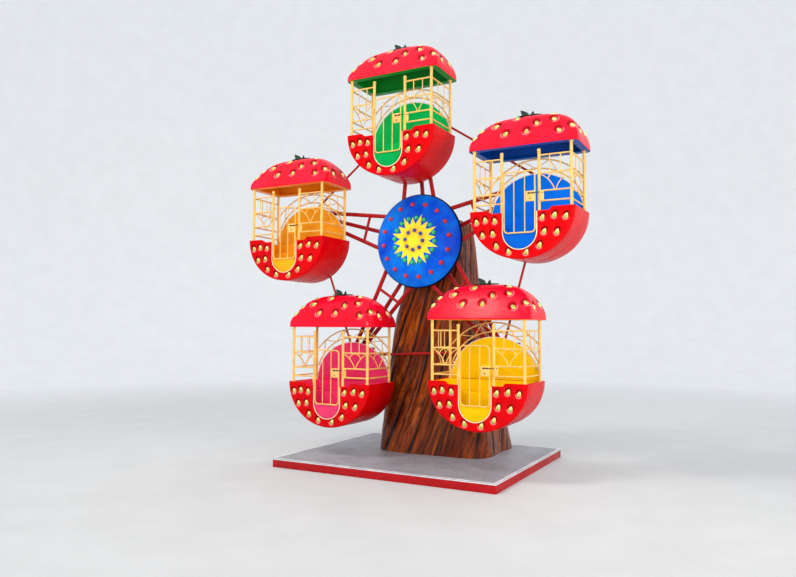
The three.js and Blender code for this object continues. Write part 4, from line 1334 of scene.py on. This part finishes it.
def disc_balls(ring):
    """Balls, each on a washer painted dark as the shade round its foot."""
    piece = Piece()
    reach = DISC["radius"] * ring["reach"]
    for turn in even_turns(ring["count"], ring["turn"]):
        foot = clock_place(reach, STAR_TURN + turn, disc_y(reach))
        piece.ball((foot[0], foot[1] - ring["radius"] * BALL_PROUD, foot[2]), ring["radius"], 0, 14, 22)
        start = len(piece.values)
        piece.drum(foot, ring["radius"] * FOOT_SHADE_WASHER["share"], FOOT_SHADE_WASHER["front"], FOOT_SHADE_WASHER["back"], "y", 0, 22)
        # Shade values of 1 paint the washer dark: painted shade round the ball's foot
        piece.values[start:] = [1.0] * (len(piece.values) - start)
    return piece


# Trunk, housing, platform

def trunk_outline(turns, z):
    """Points round the trunk at a height, shaped as a soft square with shallow lobes."""
    heights, middles, halves, fronts, backs = zip(*TRUNK_SECTIONS)
    middle, half, front, back = (np.interp(z, heights, column)
                                 for column in (middles, halves, fronts, backs))
    level = np.interp(z, heights, range(len(heights)))
    c, s = np.cos(turns), np.sin(turns)
    power = TRUNK_SQUARENESS
    reach = (np.abs(c) ** power + np.abs(s) ** power) ** (-1 / power)
    lobe = 1 - TRUNK_LOBE * (0.5 + 0.5 * np.cos(5 * turns + level))
    return middle + half * c * reach * lobe, (front + back) / 2 + (back - front) / 2 * s * reach * lobe


def bark_field(s, z):
    """Sunken share and darkness of the bark at places round the trunk and up it, both in metres.

    Sines of the height and of a band's number bend each band, break it and vary its width.
    """
    sunk, dark = np.zeros_like(s), np.zeros_like(s)
    for pitch, width, deep, drift in BARK_BANDS:
        across = (s + math.tan(BARK_LEAN) * z + drift + 0.020 * np.sin(1.1 * z + 2.0 * s)) / pitch
        band = np.round(across)
        across = across + 0.14 * np.sin(0.9 * z + 2.4 * band)
        away = (across - np.round(across)) * pitch
        broken = np.clip(0.70 + 0.5 * np.sin(1.7 * z + 2.9 * band), 0.25, 1.0)
        wide = width * (0.75 + 0.25 * np.sin(2.3 * z + 1.7 * band))
        groove = np.exp(-(np.abs(away) / wide) ** 2.2) * broken
        slope = np.clip(1 - away / (0.45 * pitch), 0, 1) * (away > 0)
        sunk = np.maximum(sunk, deep * np.maximum(groove, 0.25 * slope * broken))
        dark = np.maximum(dark, min(1.0, deep + 0.1) * groove)
    return sunk, dark


def trunk():
    """Banded bark that is near-black in its leaning grooves."""
    piece = Piece()
    turns = np.linspace(0, 2 * math.pi, TRUNK_COLUMNS, endpoint=False)
    low, high = TRUNK_SECTIONS[0][0], TRUNK_SECTIONS[-1][0]
    rows, values = [], []
    for r in range(TRUNK_ROWS + 1):
        z = low + (high - low) * r / TRUNK_ROWS
        x, y = trunk_outline(turns, z)
        step = np.hypot(np.diff(x, append=x[0]), np.diff(y, append=y[0]))
        along = np.concatenate([[0], np.cumsum(step)[:-1]])
        # Whole bands fit round the trunk, and they count leftwards from its right side
        sunk, dark = bark_field(-along / step.sum() * BARK_GIRTH, z + 0 * along)
        edge = smooth_step(r, 0, 3) * smooth_step(TRUNK_ROWS - r, 0, 3)
        middle = (y.max() + y.min()) / 2
        shrink = 1 - BARK_DEPTH * sunk * (0.35 + 0.65 * edge) / np.hypot(x, y - middle)
        rows.append([(a, b, z) for a, b in zip(x * shrink, middle + (y - middle) * shrink)])
        values += list(dark)
    piece.grid(rows, 0, around=True, capped=True, values=values)
    return piece


def bearing_housing():
    piece = Piece()
    piece.drum((0, 0, 0), HOUSING["radius"], HOUSING["front"], HOUSING["back"], "y", 0, 56, 0.006)
    for turn in even_turns(HOUSING["bolts"], 0.5):
        piece.bolt(clock_place(HOUSING["bolt_reach"], turn, HOUSING["front"]), 0.011, "y", -1, 1)
    return piece


def tread_lugs(low, high):
    """Raised lens-shaped lugs in two slants on the deck."""
    piece = Piece()
    pitch, border, long, wide = LUG["pitch"], LUG["border"], LUG["long"], LUG["wide"]
    columns = int((high.x - low.x - 0.08) / pitch)
    rows = int((high.y - low.y - 0.08) / pitch)
    ring = [(-long, 0), (-long * 0.5, -wide), (long * 0.5, -wide), (long, 0), (long * 0.5, wide),
            (-long * 0.5, wide)]
    for i in range(columns + 1):
        for j in range(rows + 1):
            x = low.x + border + i * (high.x - low.x - 2 * border) / columns
            y = low.y + border + j * (high.y - low.y - 2 * border) / rows
            slant = math.radians(45 if (i + j) % 2 else -45)
            c, s = math.cos(slant), math.sin(slant)
            points = [(x + a * c - b * s, y + a * s + b * c, high.z - 0.0005) for a, b in ring]
            points += [(x + a * c, y + a * s, high.z + LUG["proud"]) for a in (-long * 0.55, long * 0.55)]
            piece.add(points, [(0, 1, 6), (1, 2, 7, 6), (2, 3, 7), (3, 4, 7), (4, 5, 6, 7), (5, 0, 6)])
    return piece


def deck_edge(low, high):
    """A flat strip screwed down round the deck's edge."""
    piece = Piece()
    wide, top = DECK_STRIP["wide"], high.z + DECK_STRIP["thick"]
    inset = 0.0005
    for x0, x1, y0, y1 in ((low.x, high.x, low.y, low.y + wide), (low.x, high.x, high.y - wide, high.y),
                           (low.x, low.x + wide, low.y + wide, high.y - wide),
                           (high.x - wide, high.x, low.y + wide, high.y - wide)):
        piece.block((x0 + inset, y0 + inset, high.z - inset), (x1 - inset, y1 - inset, top), 0, 0.001)
        count = max(3, int(max(x1 - x0, y1 - y0) / DECK_STRIP["screws"]))
        for k in range(count):
            x, y = (x0 + x1) / 2, (y0 + y1) / 2
            if x1 - x0 > y1 - y0:
                x = x0 + (x1 - x0) * (k + 0.5) / count
            else:
                y = y0 + (y1 - y0) * (k + 0.5) / count
            piece.drum((x, y, top), 0.008, -0.001, 0.0015, "z", 0, 12, 0.0005)
    return piece


def platform_frame(low, high):
    """Red beams in a grid, sides with seams and painted bolts, and a pale strip along the top edge."""
    red, pale = 0, 1
    piece = Piece()
    sheet, strip = PLATFORM["sheet"], PLATFORM["strip"]
    lows, highs = (low.x + sheet, low.y + sheet), (high.x - sheet, high.y - sheet)
    for axis, count in enumerate(PLATFORM["cells"]):
        for k in range(count + 1):
            start = low[axis] + (high[axis] - low[axis] - PLATFORM["beam"]) * k / count
            first, last = [*lows, low.z + 0.002 * axis], [*highs, high.z - 0.002 * axis]
            first[axis] = max(start, first[axis])
            last[axis] = min(start + PLATFORM["beam"], last[axis])
            first[1 - axis] += 0.001
            last[1 - axis] -= 0.001
            piece.block(first, last, red, 0.004)
    bolt = {"radius": 0.0065, "height": 0.042, "beside": 0.03, "flat": 0.4}
    for side in (-1, 1):
        x, y = (sorted((side * edge, side * (edge - sheet))) for edge in high.xy)
        piece.block((low.x, y[0], high.z - strip), (high.x, y[1], high.z), pale, 0.001)
        piece.block((x[0], low.y + sheet, high.z - strip), (x[1], high.y - sheet, high.z), pale, 0.001)
        bolts = []
        for k in range(1, 4):
            at = low.x + (high.x - low.x) * k / 4
            seam = side * (high.y - 0.002)
            piece.block((at - 0.003, seam - 0.0008, low.z + 0.004),
                        (at + 0.003, seam + 0.0008, high.z - strip - 0.002), red, 0.0005)
            bolts.append((at, side * (high.y - sheet), "y"))
        for k in range(1, 3):
            bolts.append((low.y + (high.y - low.y) * k / 3, side * (high.x - sheet), "x"))
        for at, face, axis in bolts:
            for place in (at - bolt["beside"], at + bolt["beside"]):
                x, y = (place, face) if axis == "y" else (face, place)
                piece.bolt((x, y, low.z + bolt["height"]), bolt["radius"], axis, side * bolt["flat"], red)
    return piece


# The pieces, put on their bodies

def show_cabins():
    seeds = all_seeds().mesh("seeds", 60)
    templates = {
        "tub": tub_shell().mesh("tub", 32), "bench": bench().mesh("bench"),
        "roof": roof_shell().mesh("roof", 40), "crown": leaf_crown().mesh("crown", 50),
        "left": railing(-1).mesh("left"), "right": railing(1).mesh("right"),
        "door": door().mesh("door"), "back": back_panel().mesh("back"),
    }
    for colour in COLOURS:
        cabin, accent, panel = f"{colour}_cabin", f"accent_{colour}", f"panel_{colour}"
        # The door and the ceiling take the accent's copies that are darkened as painted shade
        rows = [
            ("tub", "tub_shell", ["shell_red", panel, "cream"], cabin, "tub", "shell_red"),
            ("bench", "bench_seat", [panel], cabin, "bench", accent),
            ("roof", "roof_shell", ["roof_red", f"ceiling_{colour}"], cabin, "roof", "shell_red"),
            ("crown", "leaf_crown", ["leaf"], cabin, "leaves", "leaf_green"),
            ("left", "rails_left", ["gold", "dark_steel"], cabin, "left_railing", "rail_gold"),
            ("right", "rails_right", ["gold", "dark_steel"], cabin, "right_railing", "rail_gold"),
            ("door", "door_grille", [f"door_{colour}", "gold", "dark_steel"], f"{colour}_door", "door",
             accent),
            ("back", "back_shell", [panel, "shell_red", "white_edge", "gold", "pipe_red", "zinc"], cabin,
             "back_panel", accent),
        ]
        for key, name, materials, body, solid, slot in rows:
            show(templates[key].copy(), f"{name}_{colour}", materials, body, PIVOTS[colour],
                 [f"{solid}_{colour}"])
        show(seeds.copy(), f"seeds_{colour}", ["seed"], cabin, PIVOTS[colour], [])


def show_wheel():
    pipe = ["pipe_red", "zinc"]
    arm_piece, rod_piece = arm(), tie_rod()
    rows = []
    for k, colour in enumerate(COLOURS):
        angle = START_ANGLE + k * STEP_ANGLE
        rows.append((arm_piece.turned(angle), f"arm_tubes_{colour}", pipe, [f"arm_{colour}"], "pipe_red"))
        rows.append((rod_piece.turned(angle), f"rod_{colour}", pipe, [f"tie_rod_{colour}"], "pipe_red"))
    rows.append((hub_core(), "hub_plate", pipe, ["hub_core"], "pipe_red"))
    rows.append((disc_dome(), "disc_dome", ["disc_blue", "disc_edge"], ["hub_disc"], "disc_blue"))
    rows.append((disc_star(), "disc_star", ["star"], [], "disc_blue"))
    for ring in BALL_RINGS:
        rows.append((disc_balls(ring), f"disc_{ring['paint']}", [ring["paint"]], [], "disc_blue"))
    for piece, name, materials, solids, slot in rows:
        show(piece.mesh(name), name, materials, "wheel", HUB, solids)


def show_base():
    low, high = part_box("deck_plate")
    column = Vector((HUB.x, HUB.y, 0))
    rows = [
        (trunk().mesh("trunk", 70), "trunk_bark", ["bark"], column, ["trunk"], "bark"),
        (bearing_housing().mesh("housing"), "housing_drum", ["pipe_red", "zinc"], HUB, ["bearing_housing"],
         "pipe_red"),
        (tread_lugs(low, high).mesh("lugs"), "deck_lugs", ["tread"], (0, 0, 0), [], "deck_steel"),
        (deck_edge(low, high).mesh("edge"), "deck_edge", ["deck_strip"], (0, 0, 0), [], "deck_steel"),
        (platform_frame(*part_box("platform_frame")).mesh("platform"), "platform_beams",
         ["platform_red", "deck_strip"], (0, 0, 0), ["platform_frame"], "platform_red"),
    ]
    for mesh, name, materials, place, solids, slot in rows:
        show(mesh, name, materials, "base", place, solids)
    solid = frame["nodes"]["deck_plate"]
    solid.data.materials.clear()
    solid.data.materials.append(PAINTS["deck"])
    bevel = solid.modifiers.new("edges", "BEVEL")
    bevel.width = 0.0015
    bevel.segments = 2


show_cabins()
show_wheel()
show_base()


# Stage: floor, light and camera

def make_backdrop():
    """A round floor that curves up into a wall on all sides, with its radius, height and glow in steps."""
    flat, bend, height, sides = 17.0, 8.0, 26.0, 96
    profile = [(0.01, 0.0, 0.0), (4.0, 0.0, 0.0), (8.0, 0.0, 0.15), (12.0, 0.0, 0.45), (flat, 0.0, 0.8)]
    for k, turn in enumerate(arc_turns(12, math.pi / 2)[1:], 1):
        profile.append((flat + bend * math.sin(turn), bend * (1 - math.cos(turn)), 0.8 + 0.2 * k / 12))
    profile.append((flat + bend, height, 1.0))
    piece = Piece()
    rows = [[(radius * math.cos(turn), radius * math.sin(turn), z) for turn in even_turns(sides)]
            for radius, z, _ in profile]
    piece.grid(rows, around=True, values=[glow for _, _, glow in profile for _ in range(sides)])
    mesh = piece.mesh("backdrop")
    mesh.materials.append(PAINTS["backdrop"])
    floor = bpy.data.objects.new("backdrop", mesh)
    bpy.context.scene.collection.objects.link(floor)


def make_light(name, place, target, size, power, colour, mirrored, spread):
    data = bpy.data.lights.new(name, "AREA")
    data.energy, data.color = power, colour
    data.shape, data.size, data.spread = "DISK", size, math.radians(spread)
    light = bpy.data.objects.new(name, data)
    light.location = place
    light.visible_glossy = mirrored
    light.rotation_mode = "QUATERNION"
    light.rotation_quaternion = (Vector(target) - Vector(place)).to_track_quat("-Z", "Y")
    bpy.context.scene.collection.objects.link(light)


def make_world():
    world = bpy.data.worlds.new("studio")
    world.use_nodes = True
    background = world.node_tree.nodes["Background"]
    background.inputs["Color"].default_value = SKY_COLOUR
    background.inputs["Strength"].default_value = 1.0
    bpy.context.scene.world = world


CAMERA_PLACE = Vector((4.472, -9.043, 1.892))
CAMERA_YAW = 0.4959
CAMERA_PITCH = 0.0572
CAMERA_ROLL = 0.0055
IMAGE_WIDTH = 796
FOCAL_PIXELS = 699.0


def make_camera():
    data = bpy.data.cameras.new("camera")
    data.sensor_width = 36.0
    data.lens = FOCAL_PIXELS / IMAGE_WIDTH * data.sensor_width
    camera = bpy.data.objects.new("camera", data)
    forward = Vector((-math.sin(CAMERA_YAW) * math.cos(CAMERA_PITCH),
                      math.cos(CAMERA_YAW) * math.cos(CAMERA_PITCH), math.sin(CAMERA_PITCH)))
    right = Vector((math.cos(CAMERA_YAW), math.sin(CAMERA_YAW), 0))
    up = right.cross(forward)
    c, s = math.cos(CAMERA_ROLL), math.sin(CAMERA_ROLL)
    right, up = c * right + s * up, c * up - s * right
    turned = Matrix((right, up, -forward)).transposed()
    camera.matrix_world = Matrix.Translation(CAMERA_PLACE) @ turned.to_4x4()
    data.clip_end = 300
    bpy.context.scene.collection.objects.link(camera)
    bpy.context.scene.camera = camera


# Place, target, width, watts, colour, whether reflections show it, and spread in degrees
LIGHTS = {
    "key": ((-3.5, -7.0, 12.5), (0, 0, 2.5), 3.5, 480, (1.0, 0.98, 0.94), False, 180),
    "glint": ((-3.5, -7.0, 12.5), (0, 0, 2.5), 1.2, 200, (1.0, 0.98, 0.94), True, 180),
    "front": ((3.0, -12.5, 4.2), (0, 0, 3.0), 6.0, 145, (1.0, 0.98, 0.95), False, 90),
    "fill": ((9.5, -4.0, 3.2), (0, 0, 2.8), 4.0, 130, (1.0, 0.93, 0.86), False, 90),
    "back": ((2.0, 9.0, 8.0), (0, 0, 2.5), 5.0, 200, (1.0, 1.0, 1.0), False, 180),
}

make_backdrop()
make_world()
for name, values in LIGHTS.items():
    make_light(name, *values)
make_camera()
bpy.context.scene.view_settings.view_transform = "Standard"
